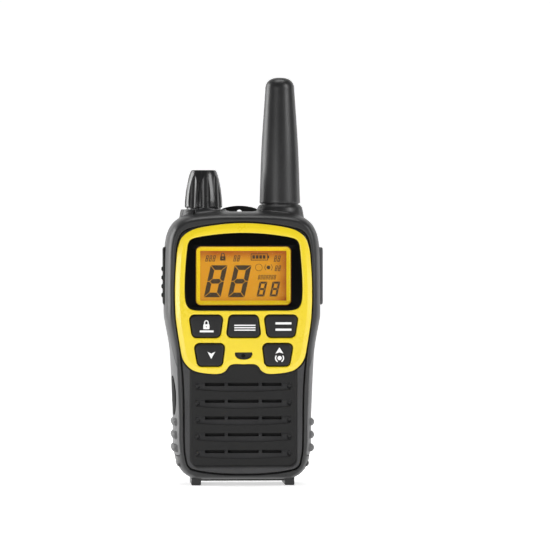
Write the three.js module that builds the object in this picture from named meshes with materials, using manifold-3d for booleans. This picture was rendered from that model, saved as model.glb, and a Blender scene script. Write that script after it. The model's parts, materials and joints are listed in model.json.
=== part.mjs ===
// A handheld two-way radio, in millimetres: +Z is up, the front faces -Y and the feet stand on Z = 0.
// Depths are counted backwards from the plane of the casing's front rim.

import * as THREE from "three";
import { mergeVertices } from "three/addons/utils/BufferGeometryUtils.js";
import Module from "manifold-3d";

const wasm = await Module();
wasm.setup();

// Driving dimensions of the casing
const footHeight = 2.2;
const caseHeight = 100.9;
const caseHalfWidth = 29.35;
const caseDepth = 29;
const caseWall = 2.8;
const backWall = 2;
const partingDepth = 11;
const partingGap = 0.3;
const frontRoundWidth = 3.1;
const frontRoundDepth = 9;
const backRoundWidth = 3;
const backRoundDepth = 5;
const ledgeDepth = 3.5;
const ledgeThickness = 1.2;
const ledgeWidth = 1.4;
const bossRadius = 2.6;
const wallLap = 0.4;
const footHalfWidth = 1.85;
const footMargin = 11.75;
const footInset = 5;
const footCorner = 0.6;

// Driving dimensions of the front
const seatGap = 0.3;
const panelThickness = 3.2;
const panelGap = 0.35;
const panelRecess = 0.8;
const shelfMargin = 3.7;
const shelfRise = 6.35;
const bezelProud = 0.6;
const bezelThickness = 1.8;
const bezelEdge = 0.7;
const bezelGap = 0.4;
const bezelMargin = 0.36;
const windowMargin = 3.9;
const windowSink = 0.3;
const windowGap = 0.25;
const windowBevel = 0.5;
const windowEdge = 0.25;
const displaySideMargin = 4.1;
const displayTopMargin = 5;
const displayLowMargin = 2;
const displayBevelWidth = 1.5;
const displayBevelDepth = 1.3;
const displayCorner = 1.7;
const bevelLand = 0.35;
const glassMargin = 0.9;
const paneThickness = 0.7;
const glassThickness = 2;
const guideFace = 1.3;
const guideWall = 1.5;
const micHalfWidth = 3.3;
const micHeight = 2.65;
const micCorner = 0.7;
const micHoleRadius = 0.8;
const micRadius = 3;

// Driving dimensions of the keys
const keyProud = 0.3;
const keyGap = 0.3;
const keyTravel = 0.6;
const keyFlange = 0.8;
const keyFlangeThickness = 0.6;
const keyCorner = 1.7;
const keyEdge = 0.45;
const keyPocketWidth = 0.8;
const matThickness = 1;
const matMargin = 1.4;
const matLowMargin = 1.55;
const matHighMargin = 1.45;
const pillarRadius = 1.6;
const domeRadius = 2.4;
const domeHeight = 0.6;

// Driving dimensions of the grille
const louvrePitch = 6.3;
const louvreDrop = 3.35;
const louvreHeight = 2.55;
const louvreBow = 0.75;
const louvreMargin = 1.7;
const louvreMiddle = 5.8;
const louvreRib = 1.2;
const louvreEnd = 2.6;
const louvreEndRib = 0.7;
const louvreSlot = 1.25;
const louvreScoop = 1.5;
const grilleMargin = 3.2;
const grilleCorner = 2.6;
const grilleUnder = 5;

// Driving dimensions of the top: the two collars, the knob and the antenna
const collarMargin = 14.9;
const collarBehind = 0.5;
const collarFootRadius = 9.6;
const collarHeadRadius = 8.5;
const collarRise = 0.8;
const collarSink = 6.1;
const notchWidth = 0.95;
const notchHeight = 2.6;
const notchDepth = 0.5;
const spigotRadius = 7.5;
const spigotHeight = 1.85;
const shaftRadius = 2.9;
const shaftGap = 0.2;
const knobLift = 0.6;
const knobBaseRadius = 7;
const knobShoulderRadius = 6.3;
const knobTopRadius = 4.5;
const knobHeight = 14.1;
const knobChamfer = 0.55;
const fluteCount = 8;
const fluteRadius = 2.7;
const fluteDepth = 1.35;
const pointerWidth = 0.5;
const pointerDepth = 0.45;
const antennaLift = 0.3;
const antennaBaseRadius = 7.5;
const antennaTipRadius = 5.5;
const antennaLength = 47.7;
const antennaDome = 4.7;
const coreRadius = 2.6;
const coreDrop = 21.75;
const shaftDrop = 0.6;
const controlHalf = 4.4;
const controlHeight = 9.5;
const coreBlockHalf = 4;
const coreBlockGap = 1.3;

// Driving dimensions of the sides
const sideKeyLength = 21.7;
const sideKeyFront = 8.3;
const sideKeyMargin = 9.3;
const sideKeyProud = 1.05;
const sideKeyCorner = 1.8;
const talkTravel = 0.9;
const talkFlangeGap = 0.95;
const talkFlangeThickness = 0.8;
const talkFlangeWidth = 0.9;
const talkRib = 0.45;
const talkRibCount = 4;
const talkRibPitch = 3.3;
const talkRibDrop = 7.25;
const talkRibInset = 2;
const padEdge = 0.6;
const switchLength = 4;
const switchHalf = 3;
const coverThickness = 2.2;
const coverPull = 1.2;
const coverKnuckle = 12;
const jackOffsets = [-4.45, 4.55];
const jackRadius = 3;
const jackBores = [1.3, 1.8];
const jackHalf = 3.4;
const jackGap = 0.95;
const jackLength = 7.8;
const gripThickness = 1.2;
const gripFront = 0.9;
const gripMargin = 7.5;
const gripDrop = 8.3;
const gripRise = 9.3;
const gripCorner = 1.4;
const gripSlopeBack = 3;
const gripSlopeDepth = 6.6;
const gripSlopeHeight = 15;
const gripRibRadius = 1.5;
const gripRibProud = 1;
const gripRibInset = 1.8;
const gripRibCount = 3;
const gripRibPitch = 4.85;
const gripRibRise = 2.7;
const chargeCentreDepth = 6.6;
const chargeHalfHeight = 7.3;
const chargeHalfDepth = 3.9;
const chargeProud = 0.25;
const chargeKnuckle = 0.72;
const chargeJackDepth = 7.7;
const chargeJackRadius = 2.4;
const chargeJackHalf = 2.9;
const chargeJackMargin = 3.95;
const chargeJackLength = 5.2;

// Driving dimensions of the battery, its bay and its door
const cellShoulder = 0.6;
const cellGap = 0.3;
const cellCount = 3;
const cellNubHeight = 1;
const bayFloor = 1.15;
const bayMargin = 4.85;
const bayRise = 6.2;
const bayDrop = 2.3;
const baySideGap = 0.4;
const doorThickness = 2.1;
const doorGap = 2.5;
const railWidth = 0.9;
const railHeight = 1.1;
const railMargin = 1.5;
const railEnd = 5;
const tongueHalfWidth = 6;
const tongueSlit = 0.8;
const tongueLength = 9;
const tongueGrooves = 4;
const tongueGroovePitch = 1.6;
const tongueGrooveDepth = 0.5;
const contactThickness = 0.4;
const contactReach = 2.2;
const contactMargin = 1;

// Driving dimensions of the belt clip
const clipGap = 4.6;
const clipThickness = 2.4;
const clipHalfWidth = 7.4;
const clipTipHalfWidth = 5.6;
const clipRise = 1.9;
const clipBottom = 28;
const clipPinDrop = 17.1;
const clipPinRadius = 0.9;
const clipPinGap = 0.2;
const clipHubRadius = 2.2;
const clipNoseHeight = 9;
const clipNoseRise = 3;
const clipCorner = 0.7;
const thumbRadius = 14;
const thumbSink = 0.9;
const thumbRise = 11;
const thumbHalf = 5.4;
const clipEarThickness = 1.6;
const clipEarGap = 0.4;
const bracketThickness = 1;
const bracketCorner = 2;
const bracketHalfWidth = 10;
const bracketGap = 4.6;
const bracketDrop = 8.1;
const eyeRadius = 1.3;
const eyeDrop = 2;
const springWire = 0.5;
const springCoilRadius = 1.7;
const springPitch = 1;
const springLeg = 8;
const springLean = 2.2;
const coilHalf = 2.5;
const springTurns = 4;

// Driving dimensions of the inner pieces
const boardDepth = 7.4;
const boardThickness = 1.6;
const boardRise = 3.85;
const boardDrop = 6.1;
const boardMargin = 4.15;
const boardHeadMargin = 5.5;
const boardHeadHeight = 11;
const canMargin = 8.4;
const canDrop = 2;
const canGap = 2.6;
const canHeight = 3.2;
const canWall = 0.4;
const canCorner = 0.8;
const speakerRise = 7.2;
const speakerGap = 1;
const speakerSideGap = 0.8;
const speakerRim = 1.2;
const magnetMargin = 7.1;
const coneRise = 2.6;
const coneEdge = 2.8;
const coneSkin = 0.8;
const clothThickness = 0.4;
const clothGap = 1.1;
const screwRadius = 1.1;
const screwHeadRadius = 1.9;
const screwHeadHeight = 1.4;
const screwGap = 0.25;
const screwSink = 0.3;
const screwTip = 7;
const screwUpperDrop = 10.8;
const screwUpperMargin = 7.55;
const screwLowerRise = 3.8;
const screwLowerMargin = 12.85;

// One overrun for every cut that runs past a face
const overrun = 1;

// Counts of facets
const collarSegments = 32;
const boreSegments = 16;
const knobSegments = 32;
const antennaSegments = 26;
const cellSegments = 18;
const fluteSegments = 14;
const roundSegments = 12;
const springSteps = 8;
const springLegSteps = 4;

// The front opening's outline, as shares of the casing's half width and height
const openingOutlineShares = [
  [0, 0.02], [0.2, 0.0208], [0.41, 0.0255], [0.6, 0.034], [0.68, 0.042], [0.725, 0.056], [0.748, 0.08],
  [0.763, 0.11], [0.77, 0.18], [0.773, 0.295], [0.784, 0.375], [0.801, 0.434], [0.825, 0.494],
  [0.855, 0.553], [0.877, 0.603], [0.888, 0.652], [0.888, 0.722], [0.877, 0.796], [0.865, 0.85],
  [0.853, 0.876], [0.83, 0.901], [0.79, 0.9205], [0.718, 0.9345], [0.61, 0.943], [0.41, 0.953],
  [0.2, 0.96], [0, 0.9625],
];
// Places on the front and on the sides, as shares of the casing's height above the feet
const bezelTopShare = 0.9564;
const bezelHeightShare = 0.56045;
const grilleBottomShare = 0.0565;
const sideKeyTopShare = 0.8662;
const chargeCentreShare = 0.31417;
// The opening's half width beside the grille, as a share of the casing's
const grilleSideShare = 0.77;
// Places on the face plate, as shares of its height above its lower edge
const windowShares = [0.42352, 0.93103];
const upperKeyHeightShares = [0.24403, 0.38904];
const lowerKeyHeightShares = [0.05305, 0.20071];
const micTopShare = 0.14324;
// A cell's nub and its contact spring, as shares of its radius
const cellNubShare = 0.3714;
const contactShare = 0.5143;

// Depths of the whole object, from the front of the keys to the back of the belt clip
const overallDepth = keyProud + bezelProud + caseDepth + clipGap + clipThickness;
const rimPlane = keyProud + bezelProud - overallDepth / 2;
const depth = (d) => rimPlane + d;
const caseTop = footHeight + caseHeight;
const caseInside = caseHalfWidth - caseWall;
const boardBack = boardDepth + boardThickness;

// The face plate, and what lies on it and behind it
const openingHalfWidth = caseHalfWidth * Math.max(...openingOutlineShares.map(([share]) => share));
const bezelHalfWidth = openingHalfWidth - bezelMargin;
const bezelHeight = caseHeight * bezelHeightShare;
const bezelTop = footHeight + caseHeight * bezelTopShare;
const bezelBottom = bezelTop - bezelHeight;
const onBezel = (share) => bezelBottom + share * bezelHeight;
const shelfSide = bezelHalfWidth - shelfMargin;
const shelfSideLow = bezelBottom + shelfRise;
const shelfDepth = bezelThickness - bezelProud + seatGap;
const windowHalfWidth = bezelHalfWidth - windowMargin;
const [windowBottom, windowTop] = windowShares.map(onBezel);
const displayHalfWidth = windowHalfWidth - displaySideMargin;
const displayHalfHeight = (windowTop - displayTopMargin - windowBottom - displayLowMargin) / 2;
const displayCentre = windowBottom + displayLowMargin + displayHalfHeight;
const paneFront = windowSink - bezelProud;
const glassDepth = paneFront + paneThickness + seatGap + displayBevelDepth + seatGap;
const [keyUpperLow, keyUpperHigh] = upperKeyHeightShares.map(onBezel);
const [keyLowerLow, keyLowerHigh] = lowerKeyHeightShares.map(onBezel);
const micTop = onBezel(micTopShare);
const micHoleHeight = micTop - micHeight / 2;
const boardHalfWidth = caseInside - boardMargin;
const boardHeadHalfWidth = boardHalfWidth - boardHeadMargin;
const boardLow = bezelBottom + boardRise;
const boardHigh = caseTop - boardDrop;
const boardShoulder = boardHigh - boardHeadHeight;
const matHalfWidth = boardHalfWidth - matMargin;
const matLow = keyLowerLow - matLowMargin;
const matHigh = keyUpperHigh + matHighMargin;
const canHalfWidth = boardHalfWidth - canMargin;
const canHigh = boardShoulder - canDrop;

// The grille: as many rows as its height has room for
const grilleHalfWidth = caseHalfWidth * grilleSideShare - grilleMargin;
const grilleBottom = footHeight + caseHeight * grilleBottomShare;
const louvreHalfWidth = grilleHalfWidth - louvreMargin;
const louvreSide = louvreHalfWidth - louvreEnd - louvreEndRib;
const louvreTop = bezelBottom - louvreDrop;
const louvreRoom = louvreTop - louvreHeight - louvreBow - grilleBottom;
const louvreCount = Math.floor(louvreRoom / louvrePitch) + 1;
const clothTop = matLow - clothGap;

// The top
const collarSpread = caseHalfWidth - collarMargin;
const collarDepth = caseDepth / 2 + collarBehind;
const collarLine = depth(collarDepth);
const collarTop = caseTop + collarRise;
const collarFoot = caseTop - collarSink;
const spigotTop = collarTop + spigotHeight;
const antennaTop = spigotTop + antennaLift + antennaLength;
const coreTop = antennaTop - coreDrop;
const shaftFoot = collarFoot - shaftDrop;
const controlLow = shaftFoot - seatGap - controlHeight;

// The sides
const footPlace = caseHalfWidth - footMargin;
const sideKeyReach = caseHalfWidth + sideKeyProud;
const sideKeyHigh = footHeight + caseHeight * sideKeyTopShare;
const sideKeyLow = sideKeyHigh - sideKeyLength;
const sideKeyMiddle = (sideKeyLow + sideKeyHigh) / 2;
const doorTop = sideKeyLow - doorGap;
const canLow = doorTop + canGap;
const sideKeyBack = caseDepth - sideKeyMargin;
const talkFlangeReach = caseInside - talkFlangeGap;
const talkRibLow = sideKeyMiddle - talkRibDrop;
const switchFace = talkFlangeReach - talkFlangeThickness - talkTravel - seatGap;
const coverFloor = sideKeyReach - coverThickness - seatGap;
const jackHeights = jackOffsets.map((offset) => sideKeyMiddle + offset);
const jackDepth = (sideKeyFront + sideKeyBack) / 2;
const coreBlockLow = Math.max(...jackHeights) + jackHalf + coreBlockGap;
const jackOuter = caseInside - jackGap;
const jackInner = jackOuter - jackLength;
const gripBack = caseDepth - gripMargin;
const gripTop = sideKeyLow - gripDrop;
const gripBottom = footHeight + gripRise;
const gripRibLow = gripBottom + gripRibRise;
const chargeCentreHeight = footHeight + caseHeight * chargeCentreShare;
const chargeJackFront = caseInside - chargeJackMargin;
const chargeJackBack = chargeJackFront - chargeJackLength;
const screwUpperHeight = caseTop - screwUpperDrop;
const screwUpperPlace = caseHalfWidth - screwUpperMargin;
const screwLowerHeight = footHeight + screwLowerRise;
const screwLowerPlace = caseHalfWidth - screwLowerMargin;

// The speaker fits between the floor and the keypad mat, and beside the charging socket.
const speakerLow = footHeight + speakerRise;
const speakerRadius = Math.min(
  (matLow - speakerGap - speakerLow) / 2,
  chargeJackBack - speakerSideGap,
);
const speakerHeight = speakerLow + speakerRadius;
const magnetRadius = speakerRadius - magnetMargin;

// The battery bay, and the cells that fit side by side between its floor and the door
const bayBack = caseDepth - doorThickness - seatGap;
const bayFront = partingDepth + partingGap / 2 + bayFloor;
const bayHalfWidth = caseInside - bayMargin;
const bayBottom = footHeight + bayRise;
const bayTop = doorTop - bayDrop;
const railPlace = bayHalfWidth + railMargin;
const cellRadius = Math.min(
  (bayHalfWidth - baySideGap - ((cellCount - 1) / 2) * cellGap) / cellCount,
  (bayBack - bayFront - cellGap) / 2,
);
const plateLow = bayBottom + seatGap;
const plateHigh = bayTop - seatGap - contactThickness;
const cellRoom = plateHigh - plateLow - contactThickness;
const cellLength = cellRoom - contactReach - 2 * cellGap - cellNubHeight;
const cellNubRadius = cellRadius * cellNubShare;
const contactRadius = cellRadius * contactShare;
const contactHalfDepth = cellRadius - contactMargin;

// The belt clip
const clipTop = caseTop + clipRise;
const eyeHeight = clipTop - eyeDrop;
const clipPinHeight = caseTop - clipPinDrop;
const bracketLow = doorTop + bracketGap;
const bracketHigh = caseTop - bracketDrop;

// Builds a closed manifold-3d solid from a three.js geometry, with its faces turned outwards.
function solid(geometry) {
  const bare = geometry.clone();
  bare.deleteAttribute("normal");
  bare.deleteAttribute("uv");
  const merged = mergeVertices(bare);
  const corners = merged.index.array;
  const kept = [];
  for (let i = 0; i < corners.length; i += 3) {
    const [a, b, c] = [corners[i], corners[i + 1], corners[i + 2]];
    if (a !== b && b !== c && c !== a) kept.push(a, b, c);
  }
  const made = (triVerts) =>
    new wasm.Manifold(
      new wasm.Mesh({ numProp: 3, vertProperties: merged.attributes.position.array, triVerts }),
    );
  const shape = made(new Uint32Array(kept));
  return shape.volume() < 0 ? made(new Uint32Array(kept.reverse())) : shape;
}

const join = (first, ...others) => others.reduce((all, next) => all.add(next), first);
const cut = (first, ...others) => others.reduce((rest, next) => rest.subtract(next), first);
const common = (first, second) => first.intersect(second);

// Turns a solid back into a three.js geometry with flat faces.
function geometryOf(shape) {
  const mesh = shape.getMesh();
  const geometry = new THREE.BufferGeometry()
    .setAttribute("position", new THREE.BufferAttribute(new Float32Array(mesh.vertProperties), 3))
    .setIndex(new THREE.BufferAttribute(new Uint32Array(mesh.triVerts), 1))
    .toNonIndexed();
  geometry.computeVertexNormals();
  return geometry;
}

const point = (x, y) => new THREE.Vector2(x, y);

// A smooth closed outline, symmetrical about x = 0, through the right half's points from bottom to top.
function mirroredOutline(halfPoints, count) {
  const left = halfPoints
    .slice()
    .reverse()
    .filter(([x]) => x > 0)
    .map(([x, z]) => [-x, z]);
  const route = [...halfPoints, ...left].map(([x, z]) => new THREE.Vector3(x, z, 0));
  const curve = new THREE.CatmullRomCurve3(route, true, "centripetal");
  return curve
    .getSpacedPoints(count)
    .slice(0, -1)
    .map((p) => point(p.x, p.y));
}

// A closed outline through straight corners, each rounded to a radius with an arc.
function roundedOutline(corners, radius, steps = 4) {
  const count = corners.length;
  return corners.flatMap((corner, i) => {
    const here = point(...corner);
    const back = point(...corners[(i + count - 1) % count]).sub(here).normalize();
    const on = point(...corners[(i + 1) % count]).sub(here).normalize();
    const half = Math.acos(back.dot(on)) / 2;
    const centre = back.clone().add(on).normalize().multiplyScalar(radius / Math.sin(half)).add(here);
    const start = back.multiplyScalar(radius / Math.tan(half)).add(here).sub(centre);
    const turn = Math.PI - 2 * half;
    return Array.from({ length: steps + 1 }, (_, k) =>
      start.clone().rotateAround(point(0, 0), (turn * k) / steps).add(centre),
    );
  });
}

const roundedBox = (x0, z0, x1, z1, radius, steps) =>
  roundedOutline([[x0, z0], [x1, z0], [x1, z1], [x0, z1]], radius, steps);

const circle = (x, z, radius, steps) =>
  Array.from({ length: steps }, (_, k) =>
    point(radius, 0).rotateAround(point(0, 0), (2 * Math.PI * k) / steps).add(point(x, z)),
  );

// Moves an outline inwards along its mitred normals; a share below 1 weakens the move at the bottom.
function inset(outline, amount, lowShare = 1) {
  const count = outline.length;
  return outline.map((here, i) => {
    const before = here.clone().sub(outline[(i + count - 1) % count]).normalize();
    const after = outline[(i + 1) % count].clone().sub(here).normalize();
    const inwards = point(-before.y - after.y, before.x + after.x).divideScalar(1 + before.dot(after));
    const share = inwards.y > 0 ? lowShare : 1;
    return point(here.x + inwards.x * amount, here.y + inwards.y * amount * share);
  });
}

// Where a station's outline lies: in the front view at a Y, or in the side view at an X
const frontwards = (p, y) => [p.x, y, p.y];
const sideways = (p, x) => [x, p.x, p.y];

// A moulded form: outlines of equal counts, each at its own station, skinned in order and capped.
function moulding(stations, place = frontwards) {
  const count = stations[0][1].length;
  const positions = stations.flatMap(([at, outline]) => outline.flatMap((p) => place(p, at)));
  const faces = [];
  for (let s = 0; s + 1 < stations.length; s += 1) {
    for (let i = 0; i < count; i += 1) {
      const [a, b] = [s * count + i, s * count + ((i + 1) % count)];
      faces.push(a, a + count, b + count, a, b + count, b);
    }
  }
  const last = (stations.length - 1) * count;
  for (const [a, b, c] of THREE.ShapeUtils.triangulateShape(stations[0][1], [])) faces.push(a, b, c);
  for (const [a, b, c] of THREE.ShapeUtils.triangulateShape(stations.at(-1)[1], [])) {
    faces.push(last + a, last + c, last + b);
  }
  const geometry = new THREE.BufferGeometry();
  geometry.setAttribute("position", new THREE.Float32BufferAttribute(positions, 3));
  geometry.setIndex(faces);
  return solid(geometry);
}

// Straight prisms of an outline: drawn in the front view, in the side view (Y, Z) and from above (X, Y).
const alongY = (outline, y0, y1) => moulding([[y0, outline], [y1, outline]]);

function extruded(outline, length, basis) {
  const geometry = new THREE.ExtrudeGeometry(new THREE.Shape(outline), {
    depth: length,
    bevelEnabled: false,
    steps: 1,
  });
  return solid(geometry.applyMatrix4(basis));
}

function alongX(outline, x0, x1) {
  const basis = new THREE.Matrix4().makeBasis(
    new THREE.Vector3(0, 1, 0),
    new THREE.Vector3(0, 0, 1),
    new THREE.Vector3(1, 0, 0),
  );
  return extruded(outline, x1 - x0, basis.setPosition(x0, 0, 0));
}

const alongZ = (outline, z0, z1) =>
  extruded(outline, z1 - z0, new THREE.Matrix4().makeTranslation(0, 0, z0));

function box(x0, x1, y0, y1, z0, z1) {
  const geometry = new THREE.BoxGeometry(x1 - x0, y1 - y0, z1 - z0);
  return solid(geometry.translate((x0 + x1) / 2, (y0 + y1) / 2, (z0 + z1) / 2));
}

// A revolved form about a vertical line at (x, y); the profile lists [radius, z] from bottom to top.
function revolved(profile, x, y, segments) {
  const geometry = new THREE.LatheGeometry(
    profile.map(([r, z]) => point(r, z)),
    segments,
  );
  return solid(geometry.rotateX(Math.PI / 2).translate(x, y, 0));
}

// A revolved form about a line along Y through (x, z); the profile lists [radius, y] from front to back.
function revolvedAlongY(profile, x, z, segments) {
  const geometry = new THREE.LatheGeometry(
    profile.map(([r, y]) => point(r, y)),
    segments,
  );
  return solid(geometry.translate(x, 0, z));
}

// The casing's outline in the front view, as shares of its half width and height above the feet
const caseOutlineShares = [
  [0, 0], [0.36, 0], [0.6, 0.002], [0.672, 0.012], [0.73, 0.021], [0.79, 0.036], [0.84, 0.06],
  [0.866, 0.095], [0.882, 0.14], [0.884, 0.226], [0.896, 0.325], [0.906, 0.395], [0.925, 0.484],
  [0.953, 0.535], [0.978, 0.573], [0.998, 0.61], [1, 0.66], [0.998, 0.77], [0.986, 0.872],
  [0.955, 0.918], [0.9, 0.95], [0.82, 0.972], [0.7, 0.987], [0.45, 0.997], [0, 1],
];
// How far the bottom edge is rounded, as a share of the sides' rounding
const bottomRoundShare = 0.55;
const caseOutlineSteps = 58;
const hollowOutlineSteps = 36;
const caseOutlineOf = (steps) =>
  mirroredOutline(
    caseOutlineShares.map(([x, z]) => [x * caseHalfWidth, footHeight + z * caseHeight]),
    steps,
  );
const caseOutline = caseOutlineOf(caseOutlineSteps);
const hollowOutline = caseOutlineOf(hollowOutlineSteps);

const openingOutlineSteps = 54;
const openingOutline = mirroredOutline(
  openingOutlineShares.map(([x, z]) => [x * caseHalfWidth, footHeight + z * caseHeight]),
  openingOutlineSteps,
);

// Quarter-ellipse edges of the casing: the angles, as shares of a right angle, at which it has a station
const roundingShares = [1, 0.66, 0.33, 0];
// The face plate's and the window's outlines, as shares of their half widths and heights
const bezelOutlineShares = [
  [0, 0.0645], [0.15, 0.0645], [0.205, 0.055], [0.26, 0.022], [0.325, 0.0045], [0.4, 0], [0.47, 0.001],
  [0.64, 0.0105], [0.74, 0.0255], [0.82, 0.054], [0.876, 0.089], [0.907, 0.13], [0.924, 0.174],
  [0.963, 0.282], [0.988, 0.369], [1, 0.475], [0.996, 0.65], [0.981, 0.749], [0.969, 0.811],
  [0.946, 0.855], [0.915, 0.894], [0.857, 0.925], [0.772, 0.95], [0.685, 0.9645], [0.59, 0.9745],
  [0.467, 0.9835], [0.233, 0.996], [0, 1],
];
const bezelOutlineSteps = 56;
const windowOutlineShares = [
  [0, 0], [0.55, 0.002], [0.84, 0.007], [0.936, 0.035], [0.982, 0.094], [1, 0.206], [0.998, 0.415],
  [0.982, 0.624], [0.959, 0.798], [0.945, 0.861], [0.913, 0.906], [0.839, 0.934], [0.55, 0.972],
  [0.275, 0.993], [0, 1],
];
const windowOutlineSteps = 36;

// Other tables of shares
const micFloorShare = 0.72;
const bezelBevelShare = 0.4;
const domeShoulderShare = 0.7;
const gripSideShare = 0.884;
const chargeSideShare = 0.894;
const chargeSteps = 18;
const chargeRoomShare = 0.86;
const chargeBoreShare = 0.6;
const louvreSteps = 8;
const louvreLipShare = 0.97;
const flutePhaseShare = 0.104;
const fluteLean = 0.05;
const pointerShare = 0.72;
const knobSocketShare = 0.62;
const notchTurn = -0.42;
// The knob's profile, as shares of its base radius and height
const knobProfileShares = [
  [1, 0.04], [0.995, 0.18], [0.95, 0.42], [0.88, 0.62], [0.775, 0.84], [0.68, 0.965], [0.63, 1],
];
// The antenna's profile: how far its radius is from the tip's to the base's, and how far up
const antennaProfileShares = [[0.96, 0], [1, 0.012], [0.65, 0.5], [0, 1]];
const domeShares = [0.2, 0.4, 0.6, 0.8];
// A contact spring's steps, as shares of its foot radius and reach
const contactStepShares = [
  [0, -0.05], [1, -0.05], [1, 0.2], [0.8, 0.2], [0.8, 0.6], [0.6, 0.6], [0.6, 1], [0, 1],
];
const clipOutlineShares = [
  [0, 0], [0.55, 0], [0.85, 0.012], [1, 0.045], [1, 0.2], [1, 0.4], [1, 0.65], [1, 0.9], [1, 0.955],
  [0.97, 0.972], [0.88, 0.98], [0.5, 0.994], [0, 1],
];
const clipOutlineSteps = 30;

// The keys' corners: inner and outer, low and high, as shares of the face plate's half width
function key(name, corners, low, high) {
  const [lowLeft, lowRight, highRight, highLeft] = corners.map((share) => share * bezelHalfWidth);
  const outline = roundedOutline(
    [[lowLeft, low], [lowRight, low], [highRight, high], [highLeft, high]],
    keyCorner,
    3,
  );
  const centre = point((lowLeft + lowRight + highRight + highLeft) / 4, (low + high) / 2);
  return { name, outline, centre };
}

const upperKeyShares = [-0.743, -0.348, -0.302, -0.794];
const middleKeyShares = [-0.249, 0.249, 0.206, -0.206];
const lowerKeyShares = [-0.665, -0.317, -0.276, -0.722];
const flip = ([a, b, c, d]) => [-b, -a, -d, -c];
const keys = [
  key("key_top_left", upperKeyShares, keyUpperLow, keyUpperHigh),
  key("key_top_middle", middleKeyShares, keyUpperLow, keyUpperHigh),
  key("key_top_right", flip(upperKeyShares), keyUpperLow, keyUpperHigh),
  key("key_down", lowerKeyShares, keyLowerLow, keyLowerHigh),
  key("key_up", flip(lowerKeyShares), keyLowerLow, keyLowerHigh),
];

// The casing's outer form, grown sideways by an amount; its stations run from front to back.
function caseForm(growth) {
  const rounding = (width, extent) =>
    roundingShares.map((share) => {
      const angle = (share * Math.PI) / 2;
      return [extent * (1 - Math.sin(angle)), width * (1 - Math.cos(angle))];
    });
  const front = rounding(frontRoundWidth, frontRoundDepth);
  const back = rounding(backRoundWidth, backRoundDepth)
    .map(([d, width]) => [caseDepth - d, width])
    .reverse();
  return moulding(
    [...front, ...back].map(([d, width]) => [
      depth(d),
      inset(caseOutline, width - growth, bottomRoundShare),
    ]),
  );
}

// A collar: a cone whose foot sinks into the shoulder, with its head's profile on top
function collar(x, head) {
  const foot = [[0, collarFoot], [collarFootRadius, collarFoot]];
  return revolved([...foot, ...head, [0, head.at(-1)[1]]], x, collarLine, collarSegments);
}

const bore = (x, radius) =>
  revolved(
    [[0, collarFoot], [radius, collarFoot], [radius, spigotTop + overrun], [0, spigotTop + overrun]],
    x,
    collarLine,
    boreSegments,
  );

function foot(x) {
  const outline = roundedBox(x - footHalfWidth, 0, x + footHalfWidth, footHeight + overrun, footCorner, 2);
  return alongY(outline, depth(footInset), depth(caseDepth - footInset));
}

// Outlines in the side view, in which the first axis is Y
const sideKeyOutline = roundedBox(
  depth(sideKeyFront),
  sideKeyLow,
  depth(sideKeyBack),
  sideKeyHigh,
  sideKeyCorner,
  3,
);
const gripOutline = roundedOutline(
  [
    [depth(gripFront), gripBottom],
    [depth(gripBack), gripBottom],
    [depth(gripBack), gripTop - gripSlopeBack],
    [depth(gripBack - gripSlopeBack), gripTop],
    [depth(gripFront + gripSlopeDepth), gripTop],
    [depth(gripFront), gripTop - gripSlopeHeight],
  ],
  gripCorner,
  3,
);
const chargeOutline = (growth) =>
  Array.from({ length: chargeSteps }, (_, k) => {
    const angle = (2 * Math.PI * k) / chargeSteps;
    return point(
      depth(chargeCentreDepth) + (chargeHalfDepth + growth) * Math.cos(angle),
      chargeCentreHeight + (chargeHalfHeight + growth) * Math.sin(angle),
    );
  });

// The part of the right side that an outline in the side view covers, from the middle outwards
const sidePrism = (outline) => alongX(outline, caseHalfWidth / 2, caseHalfWidth + sideKeyReach);

function mirrored(shape) {
  return solid(geometryOf(shape).scale(-1, 1, 1));
}

const screwPlaces = [
  [screwUpperPlace, screwUpperHeight, caseDepth],
  [screwLowerPlace, screwLowerHeight, bayBack],
].flatMap(([x, z, face]) => [[-x, z, face], [x, z, face]]);

function screwHole(x, z, face) {
  const seat = depth(face - screwHeadHeight - screwSink);
  return revolvedAlongY(
    [
      [0, depth(screwTip - screwGap)],
      [screwRadius + screwGap, depth(screwTip - screwGap)],
      [screwRadius + screwGap, seat],
      [screwHeadRadius + screwGap, seat],
      [screwHeadRadius + screwGap, depth(face) + overrun],
      [0, depth(face) + overrun],
    ],
    x,
    z,
    8,
  );
}

// The whole casing before it is parted: outer form, collars and feet, hollowed and opened
function casing() {
  const outer = join(
    caseForm(0),
    collar(-collarSpread, [[collarHeadRadius, collarTop]]),
    collar(collarSpread, [[collarHeadRadius, collarTop], [spigotRadius, spigotTop]]),
    foot(-footPlace),
    foot(footPlace),
  );
  const hollow = alongY(
    inset(hollowOutline, caseWall),
    depth(ledgeDepth + ledgeThickness),
    depth(caseDepth - backWall),
  );
  const opening = alongY(openingOutline, rimPlane - overrun, depth(ledgeDepth));
  const ledgeHole = alongY(
    inset(openingOutline, ledgeWidth),
    rimPlane,
    depth(ledgeDepth + ledgeThickness) + overrun,
  );
  const bosses = screwPlaces.map(([x, z]) =>
    alongY(circle(x, z, bossRadius, 10), depth(ledgeDepth + ledgeThickness), depth(caseDepth - backWall)),
  );
  return cut(
    join(cut(outer, hollow, opening, ledgeHole), ...bosses),
    ...screwPlaces.map((place) => screwHole(...place)),
    ...sideCuts(),
    bore(-collarSpread, shaftRadius + shaftGap),
    bore(collarSpread, coreRadius + shaftGap),
    collarNotch(),
  );
}

const collarNotch = () =>
  radialSlot(
    -collarSpread,
    notchTurn,
    collarHeadRadius,
    notchWidth,
    notchDepth,
    collarTop - notchHeight,
    collarTop + overrun,
  );

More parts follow.
